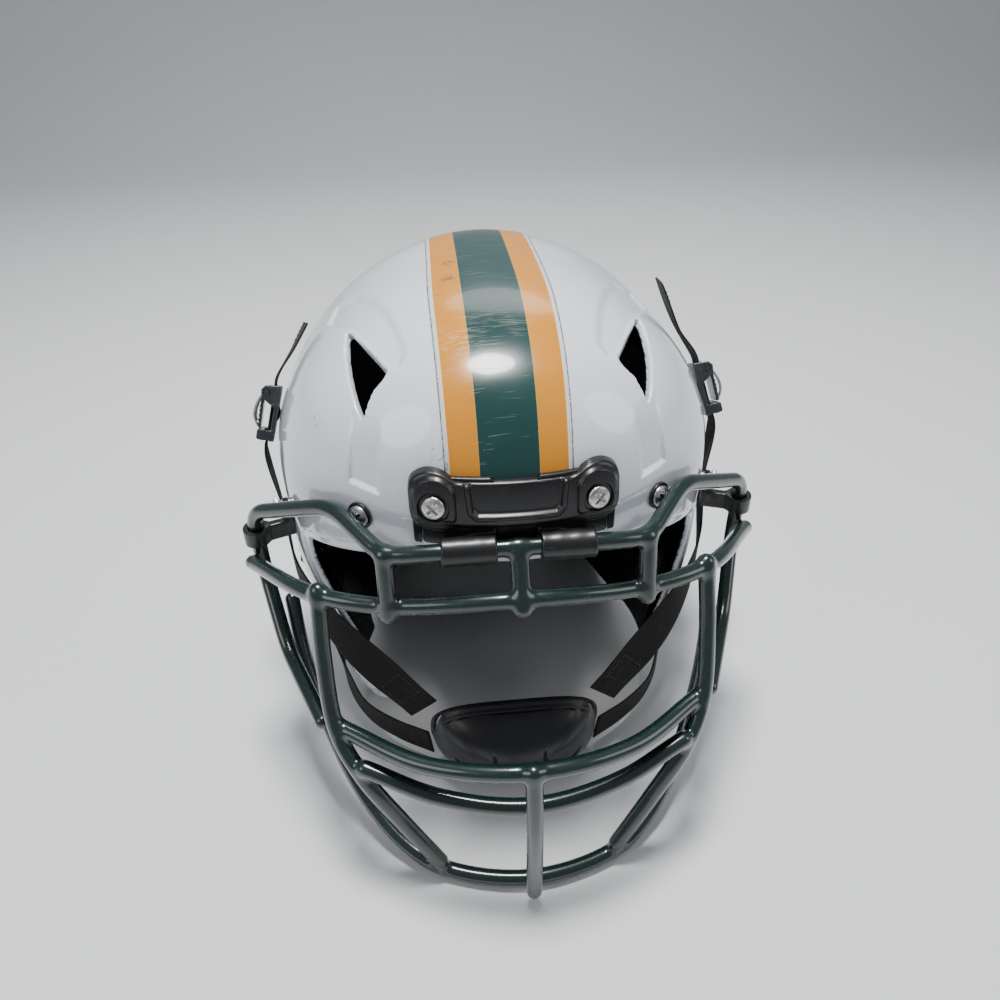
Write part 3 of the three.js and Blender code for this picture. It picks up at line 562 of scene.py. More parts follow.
def shell_finish():
    f = Finish("shell_gloss_white", IOR=1.5, Coat_Weight=0.7, Coat_Roughness=0.04)
    broad = f.noise(9, 2)
    marks = f.node("Attribute", attribute_name="marks").outputs["Fac"]
    white = f.mix(broad, (0.74, 0.79, 0.86), (0.79, 0.83, 0.89))
    scratches = f.scratches()
    dirt = f.window(f.noise(420, 3, 0.7), 0.71, 0.76)
    smudge = f.window(f.noise(38, 4, 0.6), 0.62, 0.8)
    colour = f.mix(f.times(scratches, 0.22), white, (0.42, 0.43, 0.45))
    colour = f.mix(f.times(dirt, 0.5), colour, (0.2, 0.2, 0.21))
    streak = f.noise(500, 3, 0.7, stretch=((1, 0.25, 1), (0, 0.5, 0)))
    rubbed = f.times(f.window(streak, 0.56, 0.62), f.spot((-29.5, -97, 196), 7))
    scuff = f.times(f.window(streak, 0.56, 0.66), f.spot((-84, -60, 196), 6))
    for mark in (rubbed, scuff):
        colour = f.mix(f.times(mark, 0.8), colour, (0.09, 0.09, 0.1))
    # painted shade: the shell's inner face is coloured near black, for the shade inside the cavity and the
    # black pads that cover it
    f.set("Base Color", f.mix(marks, colour, (0.012, 0.012, 0.014)))
    rough = f.between(smudge, 0.13, 0.24)
    rough = f.math("ADD", rough, f.times(scratches, 0.3))
    f.set("Roughness", f.math("MULTIPLY_ADD", marks, 0.4, rough))
    peel = f.bump(f.noise(160, 1), 0.012)
    f.set("Normal", f.bump(f.math("SUBTRACT", 0.0, scratches), 0.02, peel))
    return f.material


def stripe_finish():
    """Green between two orange bands, on clear film that shows at both edges."""
    f = Finish("stripe_film", IOR=1.45, Coat_Weight=0.3, Coat_Roughness=0.06)
    x = f.node("SeparateXYZ", {0: f.uv}).outputs[0]
    away = f.math("ABSOLUTE", f.math("SUBTRACT", x, 0.5))
    away = f.math("MULTIPLY_ADD", away, 52.4, f.times(f.noise(700, 2), 0.18))
    green = f.mix(f.noise(60, 3), (0.012, 0.048, 0.045), (0.016, 0.060, 0.055))
    orange = f.mix(f.noise(60, 3), (0.62, 0.235, 0.018), (0.70, 0.285, 0.028))
    ragged = f.noise(900, 3, 0.7)
    worn = f.window(f.noise(110, 4, 0.7), 0.6, 0.68)
    film = f.mix(f.window(ragged, 0.4, 0.65), (0.60, 0.62, 0.66), (0.30, 0.31, 0.33))
    line = f.math("LESS_THAN", away, 24.5)
    colour = f.mix(line, f.mix(worn, (0.66, 0.69, 0.74), film), (0.80, 0.72, 0.50))
    colour = f.mix(f.math("LESS_THAN", away, 24.1), colour, orange)
    colour = f.mix(f.math("LESS_THAN", away, 12.35), colour, (0.5, 0.36, 0.1))
    colour = f.mix(f.math("LESS_THAN", away, 12.15), colour, green)
    edge = f.math("GREATER_THAN", away, 25.75)
    colour = f.mix(f.times(edge, f.window(ragged, 0.35, 0.55)), colour, (0.13, 0.13, 0.14))
    scratches = f.times(f.scratches(34, 0.66), 0.6)
    rubbed = f.times(f.scratches(60, 0.6), f.spot((-12, -52, 236), 34))
    lines = f.math("MAXIMUM", scratches, rubbed)
    colour = f.mix(f.times(lines, 0.2), colour, (0.72, 0.66, 0.56))
    speck = f.window(f.noise(520, 3, 0.75), 0.7, 0.74)
    colour = f.mix(f.times(speck, 0.5), colour, (0.45, 0.47, 0.45))
    for place, radius in (((-20, 12, 241), 5.0), ((-21, -10, 241), 5.5)):
        burnt = f.times(f.spot(place, radius), f.window(f.noise(480, 3, 0.7), 0.44, 0.52))
        colour = f.mix(f.times(burnt, 0.7), colour, (0.16, 0.06, 0.02))
    f.set("Base Color", colour)
    f.set("Roughness", f.math("MULTIPLY_ADD", lines, 0.35, f.between(f.noise(45, 3), 0.16, 0.3)))
    f.set("Normal", f.bump(f.math("SUBTRACT", f.noise(90, 2), f.times(lines, 0.4)), 0.03))
    return f.material


def mask_finish():
    """Dark green dip coat with metallic fleck, chipped to a pale primer in places."""
    f = Finish("mask_green_coat", IOR=1.5, Coat_Weight=0.9, Coat_Roughness=0.08)
    fleck = f.node("TexVoronoi", {"Vector": f.place, "Scale": 2400.0}).outputs["Color"]
    bright = f.node("SeparateXYZ", {0: fleck}).outputs[0]
    spark = f.window(bright, 0.9, 0.97)
    base = f.mix(f.noise(40, 3), (0.003, 0.0125, 0.0105), (0.005, 0.020, 0.0165))
    colour = f.mix(f.times(spark, 0.35), base, (0.05, 0.16, 0.13))
    scratches = f.times(f.scratches(48, 0.68), 0.5)
    colour = f.mix(f.times(scratches, 0.4), colour, (0.08, 0.12, 0.10))
    chip = f.window(f.noise(110, 5, 0.72), 0.72, 0.735)
    colour = f.mix(chip, colour, (0.20, 0.22, 0.19))
    f.set("Base Color", colour)
    f.set("Metallic", f.times(spark, 0.5))
    rough = f.math("MULTIPLY_ADD", chip, 0.35, f.between(f.noise(70, 4), 0.2, 0.36))
    f.set("Roughness", f.math("MULTIPLY_ADD", scratches, 0.15, rough))
    skin = f.bump(f.noise(240, 2), 0.05)
    dents = f.math("ADD", f.times(chip, -0.6), f.times(scratches, -0.3))
    f.set("Normal", f.bump(dents, 0.12, skin))
    return f.material


def plastic_finish(name, dark, light, rough=(0.28, 0.45), grain=0.02, coat=0.25, scale=700):
    """Moulded black plastic: fine grain, rubbed patches and grey scratches."""
    f = Finish(name, IOR=1.49, Coat_Weight=coat, Coat_Roughness=0.15)
    patch = f.noise(55, 4, 0.6)
    scratches = f.scratches(60, 0.66)
    colour = f.mix(patch, dark, light)
    colour = f.mix(f.times(scratches, 0.4), colour, tuple(min(1, 5 * c + 0.02) for c in light))
    dust = f.window(f.noise(900, 2, 0.7), 0.66, 0.75)
    f.set("Base Color", f.mix(f.times(dust, 0.2), colour, (0.06, 0.06, 0.063)))
    f.set("Roughness", f.math("MULTIPLY_ADD", scratches, 0.2, f.between(patch, *rough)))
    fine = f.bump(f.noise(scale, 2, 0.6), grain)
    f.set("Normal", f.bump(f.math("SUBTRACT", 0.0, scratches), 0.03, fine))
    return f.material


def steel_finish():
    """Stainless heads: turned rings, small pits and a dull film in the hollows."""
    f = Finish("stainless", Metallic=1.0, IOR=2.4)
    grime = f.window(f.noise(520, 4, 0.7), 0.56, 0.7)
    colour = f.mix(f.noise(300, 3), (0.50, 0.50, 0.50), (0.66, 0.65, 0.64))
    colour = f.mix(f.times(grime, 0.75), colour, (0.16, 0.15, 0.14))
    f.set("Base Color", colour)
    streaks = f.noise(900, 3, 0.6, stretch=((1, 9, 1), (0.4, 0.2, 0.8)))
    f.set("Roughness", f.math("MULTIPLY_ADD", grime, 0.2, f.between(streaks, 0.2, 0.4)))
    f.set("Normal", f.bump(f.math("SUBTRACT", streaks, f.times(grime, 0.7)), 0.06))
    return f.material


def webbing_finish(name, dark, light):
    """Woven strap: herringbone rows from the strap's own u (across) and v (along), in mm."""
    f = Finish(name, Roughness=0.82, IOR=1.4, Sheen_Weight=0.08, Sheen_Roughness=0.4)
    uv = f.node("SeparateXYZ", {0: f.uv})
    u, v = uv.outputs[0], uv.outputs[1]
    zigzag = f.math("PINGPONG", u, 3.2)
    row = f.math("SINE", f.times(f.math("ADD", v, zigzag), 2 * math.pi / 1.5))
    warp = f.math("SINE", f.times(u, 2 * math.pi / 0.8))
    weave = f.math("MULTIPLY_ADD", warp, 0.22, f.times(row, 0.5))
    weave = f.math("ADD", weave, f.times(f.noise(2600, 2), 0.8))
    # painted highlight: a lighter band along both edges of the strap, for the rim light that catches them
    edge = f.window(f.math("ABSOLUTE", f.math("SUBTRACT", u, STRAP_WIDTH / 2)), STRAP_WIDTH / 2 - 1.7,
                    STRAP_WIDTH / 2 - 1.2)
    fuzz = f.window(f.noise(1500, 3, 0.7), 0.6, 0.75)
    colour = f.mix(f.window(weave, -0.5, 1.0), dark, light)
    colour = f.mix(f.times(edge, 0.6), colour, tuple(1.7 * c for c in light))
    f.set("Base Color", f.mix(f.times(fuzz, 0.2), colour, (0.06, 0.06, 0.06)))
    f.set("Normal", f.bump(weave, 0.16))
    return f.material


def vinyl_finish(name, dark, light):
    """Soft padding cover: pebbled grain with creases, and a painted sheen: the base colour is lighter on the
    high spots.
    """
    f = Finish(name, IOR=1.46, Coat_Weight=0.08, Coat_Roughness=0.4)
    pebble = f.node("TexVoronoi", {"Vector": f.place, "Scale": 900.0}, feature="DISTANCE_TO_EDGE").outputs[0]
    grain = f.window(pebble, 0.0, 0.25)
    crease = f.noise(120, 5, 0.65)
    # painted sheen: the base colour is lighter where the grain and the creases stand high
    f.set("Base Color", f.mix(f.times(crease, grain), dark, light))
    f.set("Roughness", f.between(crease, 0.5, 0.72))
    f.set("Normal", f.bump(f.math("MULTIPLY_ADD", crease, 1.4, grain), 0.12))
    return f.material


SHELL = shell_finish()
STRIPE = stripe_finish()
MASK = mask_finish()
BLACK = plastic_finish("bumper_black", (0.0035, 0.0035, 0.0045), (0.008, 0.008, 0.009))
CLIP = plastic_finish("clip_black", (0.004, 0.004, 0.0045), (0.010, 0.010, 0.011), (0.3, 0.5), 0.04)
CUP = plastic_finish("cup_black", (0.005, 0.005, 0.0065), (0.010, 0.010, 0.012), (0.32, 0.5), 0.05, 0.2, 500)
BUCKLE = plastic_finish("buckle_grey", (0.016, 0.018, 0.022), (0.035, 0.037, 0.042), (0.25, 0.45), 0.03)
STEEL = steel_finish()
STRAP = webbing_finish("strap_webbing", (0.003, 0.003, 0.0033), (0.010, 0.0098, 0.0095))
PAD = vinyl_finish("pad_vinyl", (0.006, 0.006, 0.007), (0.018, 0.018, 0.020))
THREAD = plastic_finish("thread", (0.03, 0.03, 0.032), (0.07, 0.07, 0.072), (0.6, 0.8), 0.05, 0.0, 2500)


# ---- shell ----
def side_outline():
    """The shell seen from the side, y and z: what lies inside it is kept."""
    far = -MIDDLE[1] - FRONT
    return np.vstack([
        [(260, 0), (72, 0)], bezier((72, 0), (40, 0), (5, 9)), [(-50, 19)],
        bezier((-50, 19), (-86, 27), (-90, 50)), bezier((-90, 50), (-86, 78), (-52, 112)),
        bezier((-52, 112), (-46, 122), (-58, 128)), bezier((-58, 128), (-88, 141), (-96, 146)),
        [(far, BROW_RIM + 6), (far, 320), (260, 320)]])


def lookup(corners, low, high, step=0.75):
    """A polygon's distance, worked out once on a grid and read between its points."""
    a = np.arange(low[0], high[0], step)
    b = np.arange(low[1], high[1], step)
    table = polygon(*np.meshgrid(a, b, indexing="ij"), corners)

    def read(x, y):
        fx = np.clip((x - low[0]) / step, 0, len(a) - 1.001)
        fy = np.clip((y - low[1]) / step, 0, len(b) - 1.001)
        i, j = fx.astype(int), fy.astype(int)
        s, t = fx - i, fy - j
        return (table[i, j] * (1 - s) * (1 - t) + table[i + 1, j] * s * (1 - t)
                + table[i, j + 1] * (1 - s) * t + table[i + 1, j + 1] * s * t)
    return read


side_distance = lookup(side_outline(), (-160, -15), (200, 270))
VENT = [(69, -25, 221), (53, -65.5, 220), (62, -77, 206.5)]
VENT_FLAT = [tuple(vent_seat.local(np.array([p], float))[0, :2]) for p in VENT]
SCOOP = [(80, 33), (66, 20), (56, -2), (48, -26), (43, -45), (39.5, -62),
         (44, -69), (53, -64), (69, -24), (84, 10)]
CHANNEL = [(53.5, 207), (66, 205), (69.5, 178.5), (56, 177.5)]


def relief(p):
    """How far the shell's face is pressed in: a scoop over each vent and a channel with a ledge."""
    x, y, z = np.abs(p[:, 0]), p[:, 1], p[:, 2]
    scoop = polygon(x, y, SCOOP)
    depth = 1.5 * smooth((0.4 - scoop) / 4.5) * (z > MIDDLE[2])
    channel = polygon(x, z, CHANNEL)
    fade = smooth((210 - z) / 24)
    return depth + 1.7 * smooth((0.6 - channel) / 2.2) * fade * (y < 0)


def shell_field(p):
    steepness = np.maximum(np.linalg.norm(slope(outside, p, 1.0), axis=1), 0.5)
    side = side_distance(p[:, 1], p[:, 2])
    pressed = relief(p)
    rim = 1.0 * smooth((side + 6.2) / 1.6) * smooth((-30 - p[:, 1]) / 20)
    outer = outside(p) / steepness + pressed + rim
    inner = outside(p, -WALL) / steepness + 0.8 * pressed
    d = smax(outer, -inner, 1.0)
    d = smax(d, side, 2.2)
    q = p.copy()
    q[:, 0] = np.abs(q[:, 0])
    screwed = (bumper_screw_seat, temple_seat, rear_screw_seat, upper_post_seat, lower_post_seat)
    for seat, radius in (*[(seat, SCREW_HOLE) for seat in screwed], (stud_seat, STUD_HOLE)):
        local = seat.local(q)
        hole = np.maximum(np.hypot(local[:, 0], local[:, 1]) - radius, np.abs(local[:, 2]) - 14)
        d = smax(d, -hole, 0.5)
    local = vent_seat.local(q)
    taper = np.clip(local[:, 2] + WALL, 0, WALL + 2) * 0.9
    inner_side = (local[:, :2] - np.array(VENT_FLAT[0])) @ vent_inner_way()
    grown = polygon(local[:, 0], local[:, 1], VENT_FLAT) - 1.0 - taper * smooth(1 - np.abs(inner_side) / 9)
    d = smax(d, -np.maximum(grown, np.abs(local[:, 2]) - 16), 1.1)
    ear = np.hypot(p[:, 1] - EAR_HOLE[0], p[:, 2] - EAR_HOLE[1]) - EAR_RADIUS
    ear = np.maximum(ear, SIDE - 50 - q[:, 0])
    d = smax(d, -ear, 1.6)
    slot = rect(q[:, 0] - REAR_SLOT[0], p[:, 2] - REAR_SLOT[1], *REAR_SLOT_HALF, 5.2)
    slot = np.maximum(slot, MIDDLE[1] + 60 - p[:, 1])
    d = smax(d, -slot, 1.6)
    local = valve_seat.local(p)
    hole = np.maximum(np.hypot(local[:, 0], local[:, 1]) - VALVE_HOLE, np.abs(local[:, 2]) - 14)
    return smax(d, -hole, 0.5)


def vent_inner_way():
    """In the vent's plane, the unit direction square to its long inner side."""
    a, b = (np.array(VENT_FLAT[i]) for i in (0, 1))
    along = (b - a) / np.linalg.norm(b - a)
    return np.array([-along[1], along[0]])


def make_shell():
    geometry = surface_of(shell_field, (-124, -117, -3), (124, 165, 246), 1.25)
    verts, normals = geometry[0], geometry[2]
    faces_in = -(normals * unit(verts - MIDDLE)).sum(1)
    # painted shade: a mask of the shell's inner face, which is coloured near black for the shade in the
    # cavity and the black pads over it
    dark = smooth((faces_in - 0.1) / 0.25) * smooth((-1.6 - height(verts)) / 0.8)
    put("shell_moulded", geometry, SHELL, "helmet", "shell", ["shell"], marks=dark)


def make_stripe():
    """The film lies on the shell in a fan of planes through the middle."""
    shift, lift, thick = -2.0, 0.12, 0.22
    rows, cols = ((420, 53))
    front = on_front(0, BUMPER_TOP - 4)[0]
    first = math.atan2(front[2] - MIDDLE[2], MIDDLE[1] - front[1]) / np.pi
    angle = np.linspace(first, 0.93, rows)[:, None] * np.pi
    half = 26.2 + 2.6 * smooth((angle / np.pi - first) / 0.25)
    u = np.linspace(-1, 1, cols)[None]
    angle, u = np.broadcast_arrays(angle, u)
    d = columns(0.0, -np.cos(angle), np.sin(angle))
    ridge = MIDDLE + d * form_radius(d)[:, None]
    start = ridge - 40 * d
    start[:, 0] = (u * half + shift).ravel()
    half = np.broadcast_to(half, u.shape).ravel()
    on = meet(start, d)
    n = normals_at(on)
    top, under = on + n * (lift + thick), on + n * lift
    inset = np.clip((1 - np.abs(u.ravel())) * half / 0.4, 0, 1)[:, None]
    top = under + (top - under) * (0.35 + 0.65 * inset)
    geometry, _ = closed_sheet(top, under, rows, cols)
    uv = np.stack([(u.ravel() + 1) / 2, angle.ravel() / np.pi], 1)
    put("stripe_film", geometry, STRIPE, "helmet", "stripe", ["stripe_decal"], uv=np.concatenate([uv, uv]))


# ---- front and rear bumpers ----
def front_bumper_field(p):
    x, z = np.abs(p[:, 0]), p[:, 2]
    h = height(p)
    low, mid_top = 170.3, BUMPER_TOP - 2
    middle = rect(x, z - (low + mid_top) / 2, 42, (mid_top - low) / 2, 3)
    ear = rect(x - 33.4, z - 181, 10.1, 12.8, 9.6)
    outline = smin(middle, ear, 3)
    rise = 5.2 + 1.7 * smooth((-0.8 - ear) / 1.6) * smooth((z - 173.5) / 2.5)
    local = bumper_screw_seat.local(np.stack([x, p[:, 1], z], 1))
    to_screw = np.hypot(local[:, 0], local[:, 1])
    rise = rise - 1.5 * smooth((6.9 - to_screw) / 0.7)
    panel = polygon(x, z, [(-40, 220), (-40, 176.2), (16.5, 176.2), (19, 178.5), (23, 220)])
    rise = rise + 1.2 * smooth((1.6 - np.abs(panel)) / 1.3) - 1.0 * smooth((-panel - 0.8) / 1.4)
    rise = rise - 1.1 * smooth((173.4 - z) / 2.4)
    leg = rect(x - 24, z - 177.5, 15.3, 13.8)
    under = GAP + (CLIP_WALL + 0.25) * smooth(-leg / 0.5)
    d = smax(outline, h - rise, 1.5)
    d = smax(d, under - h, 0.6)
    between_clips = rect(x, z - 166, CLIP_CENTRE - CLIP_WIDTH / 2 - 0.5, 7, 1.5)
    beside_clips = rect(x - 41.1, z - 168, 1.75, 8, 1.0)
    skirt = smax(np.minimum(between_clips, beside_clips), np.abs(h - 1.05) - 0.75, 0.5)
    return smin(smax(d, 2.75 - to_screw, 0.5), skirt, 0.4)


def rear_bumper_field(p):
    x, z = np.abs(p[:, 0]), p[:, 2]
    h = height(p)
    outline = rect(x, z - 60 + 0.0012 * x * x, 51.5, 14.6 - 0.0011 * x * x, 8)
    panel = rect(x, z - 60, 20, 8.5, 3)
    to_screw = np.hypot(x - REAR_SCREW[0], z - REAR_SCREW[1])
    rise = 3.4 + 1.5 * smooth((-1.5 - outline) / 3) - 0.9 * smooth(-panel / 0.8)
    rise = rise + 0.5 * smooth((0.9 - np.abs(panel)) / 0.6) - 1.2 * smooth((6.4 - to_screw) / 0.7)
    d = smax(outline, h - rise, 1.6)
    d = smax(d, GAP - h, 0.5)
    return smax(d, 2.75 - to_screw, 0.5)


def make_bumpers():
    front = surface_of(front_bumper_field, (-47, -122, 157), (47, -84, 199), 0.62)
    put("front_bumper_moulded", front, BLACK, "helmet", "bumper", ["front_bumper"])
    rear = surface_of(rear_bumper_field, (-56, 105, 42), (56, 160, 78), 0.8)
    put("rear_bumper_moulded", rear, BLACK, "helmet", "bumper", ["rear_bumper"])


# ---- screws, posts, studs ----
def screw_field(p, shank_length=6, dome=2.5):
    """A domed cross-recess head and its threaded shank."""
    r = np.hypot(p[:, 0], p[:, 1])
    head = smax(r - 5, p[:, 2] - dome + r * r * 0.045, 0.9)
    head = smax(head, -p[:, 2], 0.3)
    thread = 0.14 * np.sin(p[:, 2] * 2 * np.pi / 1.1)
    shank = np.maximum(r - 2.35 - thread, slab(p[:, 2], -shank_length, 0.5))
    d = np.minimum(head, shank)
    a, b = np.abs(p[:, 0] + p[:, 1]) / 1.414, np.abs(p[:, 0] - p[:, 1]) / 1.414
    narrow = 0.62 + 0.14 * (p[:, 2] - dome)
    cross = np.minimum(np.maximum(a - 2.9, b - narrow), np.maximum(b - 2.9, a - narrow))
    tick = np.maximum(np.abs(p[:, 0]) - 0.2, np.abs(r - 2.6) - 0.9)
    d = smax(d, -np.maximum(cross, dome - 1.7 + 0.25 * r - p[:, 2]), 0.3)
    return smax(d, -np.maximum(tick, dome - 0.55 - p[:, 2]), 0.2)


def cup_washer_field(p):
    r = np.hypot(p[:, 0], p[:, 1])
    ring = np.maximum(r - 6.3, 2.9 - r)
    top = 0.8 + 0.7 * smooth((r - 5.1) / 0.5)
    return smax(smax(ring, p[:, 2] - top, 0.5), GAP - p[:, 2], 0.3)


def make_screws():
    screw = surface_of(screw_field, (-5.6, -5.6, -7), (5.6, 5.6, 3.2), 0.3)
    for name, seat, lift in (("front_bumper_screw", bumper_screw_seat, BUMPER - 1.4),
                             ("rear_bumper_screw", rear_screw_seat, 4.0), ("temple_screw", temple_seat, 1.0)):
        put_pair(f"{name}_head", seated(screw, seat, lift), STEEL, "helmet", "steel", name)
    washer = seated_surface(cup_washer_field, temple_seat, (-8, -8, -0.2), (8, 8, 2.4), 0.35)
    put_pair("temple_cup_washer", washer, CLIP, "helmet", "clip")


def stud_field(p):
    """A shank with a winged head that overhangs the side clip's plate."""
    r = np.hypot(p[:, 0], p[:, 1])
    head_at = CLIP_LIFT + CLIP_PLATE + WING_CLEARANCE
    shank = np.maximum(r - 3.15, slab(p[:, 2], -WALL - 3, head_at + 0.5))
    wing = rect(p[:, 0], p[:, 1] - GAP, 3.6, 5.5, 3.2)
    knurl = 0.1 * np.cos(p[:, 1] * 2 * np.pi / 1.1) * smooth((np.abs(p[:, 0]) - 3.0) / 0.4)
    head = smax(wing + knurl, slab(p[:, 2], head_at, head_at + 2.6 - 0.012 * r * r), 0.8)
    d = smin(shank, head, 0.3)
    slot = np.maximum(np.maximum(np.abs(p[:, 0]) - 0.7, np.abs(p[:, 1]) - 5), head_at + 1.4 - p[:, 2])
    return smax(d, -slot, 0.3)


def post_field(p):
    r = np.hypot(p[:, 0], p[:, 1])
    shank = np.maximum(r - 2.4, slab(p[:, 2], -WALL - 1, 1))
    neck = 4.2 - 0.5 * smooth((1.6 - p[:, 2]) / 1.2)
    head = smax(r - neck, slab(p[:, 2], GAP, 2.9), 0.8)
    d = np.minimum(shank, head)
    return smax(d, -np.maximum(r - 1.3, 2.0 - p[:, 2]), 0.3)


def valve_field(p):
    r = np.hypot(p[:, 0], p[:, 1])
    stem = np.maximum(r - 4, slab(p[:, 2], -WALL - 1.5, 1))
    flange = smax(r - 6.5, slab(p[:, 2], GAP, 1.6 - 0.01 * r * r), 0.7)
    d = smin(stem, flange, 0.3)
    d = smax(d, 0.25 - np.abs(r - 4.6) - np.maximum(1.25 - p[:, 2], 0) * 3, 0.2)
    return smax(d, -np.maximum(r - 1.4, -2 - p[:, 2]), 0.4)


def make_turned_parts():
    stud = seated_surface(stud_field, stud_seat, (-6.2, -6.2, -7.8), (6.2, 6.2, 8.6), 0.35)
    put_pair("quarter_turn_stud_head", stud, STEEL, "stud_", "steel", "quarter_turn_stud")
    for level, seat in (("upper", upper_post_seat), ("lower", lower_post_seat)):
        post = seated_surface(post_field, seat, (-5, -5, -6), (5, 5, 3.6), 0.35)
        put_pair(f"{level}_snap", post, STEEL, "helmet", "steel", f"{level}_snap_post")
    valve = seated_surface(valve_field, valve_seat, (-7.4, -7.4, -6.4), (7.4, 7.4, 2.4), 0.35)
    put("inflation_valve_disc", valve, CLIP, "helmet", "clip", ["inflation_valve"])


# ---- face mask ----
axis_point = np.array([0, on_front(0, BROW_Z)[0, 1] - GAP - CLIP_WALL - CLIP_CLEARANCE - WIRE, BROW_Z])
MASK_DROP = BROW_Z - WIRE - 0.6


def beside(y, z, daylight):
    return on_side(y, z)[0] + np.array([daylight + WIRE, 0, 0])


loop_top = beside(axis_point[1] + LOOP_BACK, BROW_Z - 20, 19)
MASK_HALF = loop_top[0]


def on_mask(share_x, forward, share):
    return np.array([share_x * MASK_HALF, axis_point[1] - forward, BROW_Z - share * MASK_DROP])


def whole(half):
    """A half given from the middle out, with its mirror image before it."""
    half = np.asarray(half, float)
    return np.vstack([half[:0:-1] * (-1, 1, 1), half])


def brow_points():
    upright = 0.45 * MASK_HALF
    low_bend = on_front(upright - 4, BROW_Z - 3, WIRE + 2.2)[0]
    return [axis_point, (CLIP_CENTRE + CLIP_WIDTH / 2 + 4, axis_point[1], BROW_Z),
            (upright, min(low_bend[1], axis_point[1] + 4), BROW_Z - 3),
            beside(axis_point[1] + 33, BROW_Z + 4, 3), loop_top,
            (MASK_HALF + 1.5, axis_point[1] + LOOP_BACK + 2, BROW_Z - 58),
            (MASK_HALF - 10, axis_point[1] + LOOP_BACK - 30, BROW_Z - 86),
            on_mask(0.75, MASK_FORWARD * 0.1, 0.57)]


def mask_lines():
    """Centre lines of every wire of the mask."""
    f = MASK_FORWARD
    brow = brow_points()
    eye = [on_mask(0, 11.6, 0.116), on_mask(0.45, 0.6, 0.165), on_mask(0.71, -12.4, 0.178),
           (MASK_HALF + 3.5, axis_point[1] + LOOP_BACK - 7, BROW_Z - 46)]
    main = [on_mask(0.7, -11.5, 0.158), on_mask(0.705, f * 0.03, 0.35), on_mask(0.68, f * 0.32, 0.535),
            on_mask(0.6, f * 0.56, 0.635), on_mask(0.47, f * 0.7, 0.81), on_mask(0.345, f * 0.82, 0.965)]
    upper = [on_mask(0, f, 0.485), on_mask(0.36, f * 0.78, 0.515), on_mask(0.66, f * 0.3, 0.53)]
    lower = [on_mask(0, f * 0.97, 0.65), on_mask(0.32, f * 0.83, 0.64), on_mask(0.585, f * 0.57, 0.6)]
    chin = [on_mask(0, f, 1), on_mask(0.32, f * 0.84, 1), on_mask(0.48, f * 0.6, 0.975),
            on_mask(0.64, f * 0.19, 0.9), on_mask(0.78, -f * 0.33, 0.745), on_mask(0.865, -f * 0.78, 0.6),
            (MASK_HALF - 11, axis_point[1] + LOOP_BACK - 6, BROW_Z - 73)]
    ahead = np.array([0, -2 * WIRE - 1.0, 0])
    centre = [upper[0] + (0, -1.5, 1.0), on_mask(0, f * 0.97, 0.65) + ahead, chin[0] + ahead + (0, 0, 5)]
    on_eye = np.array([0, -3.0, -2.5])
    lines = [bent(whole(brow), 11), catmull(whole(eye)), catmull(whole(upper)), catmull(whole(lower)),
             catmull(whole(chin)), catmull(centre), np.array([brow[0], eye[0] + on_eye])]
    half = np.array([brow[2], eye[1] + on_eye])
    for line in (half, catmull(main)):
        lines += [line, line * (-1, 1, 1)]
    return lines


def make_mask():
    """All the wires as one coated weldment: the field is built a wire at a time, near that wire only."""
    step = 0.9
    low = np.array([-134.0, -190.0, -2.0])
    shape = np.ceil((np.array([134.0, -44, 175]) - low) / step).astype(int)
    total = np.full(shape, 9.0, np.float32)
    fillet = 2.8
    for line in mask_lines():
        own = np.full(shape, 9.0, np.float32)
        for a, b in zip(line[:-1], line[1:]):
            start = np.maximum(np.floor((np.minimum(a, b) - 9 - low) / step).astype(int), 0)
            end = np.minimum(np.ceil((np.maximum(a, b) + 9 - low) / step).astype(int), shape)
            where = tuple(slice(s, e) for s, e in zip(start, end))
            axes = [low[i] + step * np.arange(start[i], end[i]) for i in range(3)]
            p = np.stack(np.meshgrid(*axes, indexing="ij"), -1)
            near = near_segment(p.reshape(-1, 3), a, b) - WIRE
            own[where] = np.minimum(own[where], near.reshape(own[where].shape))
        total = smin(total, own, fillet).astype(np.float32)
    verts, quads = net(total)
    normals = grid_slope(total, verts)
    put("mask_weldment", (low + verts * step, quads, normals), MASK, "mask", "mask_wire",
        [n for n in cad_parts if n.startswith("mask_")])


def grid_slope(values, at):
    """Unit gradient of a grid, read at places between its points."""
    base = np.clip(at.astype(int), 1, np.array(values.shape) - 3)
    t = at - base
    total = np.zeros_like(at)
    for corner in CUBE:
        i, j, k = (base + corner).T
        share = np.prod(np.where(corner, t, 1 - t), axis=1)
        g = np.stack([values[i + 1, j, k] - values[i - 1, j, k], values[i, j + 1, k] - values[i, j - 1, k],
                      values[i, j, k + 1] - values[i, j, k - 1]], 1)
        total += share[:, None] * g
    return unit(total + 1e-9)


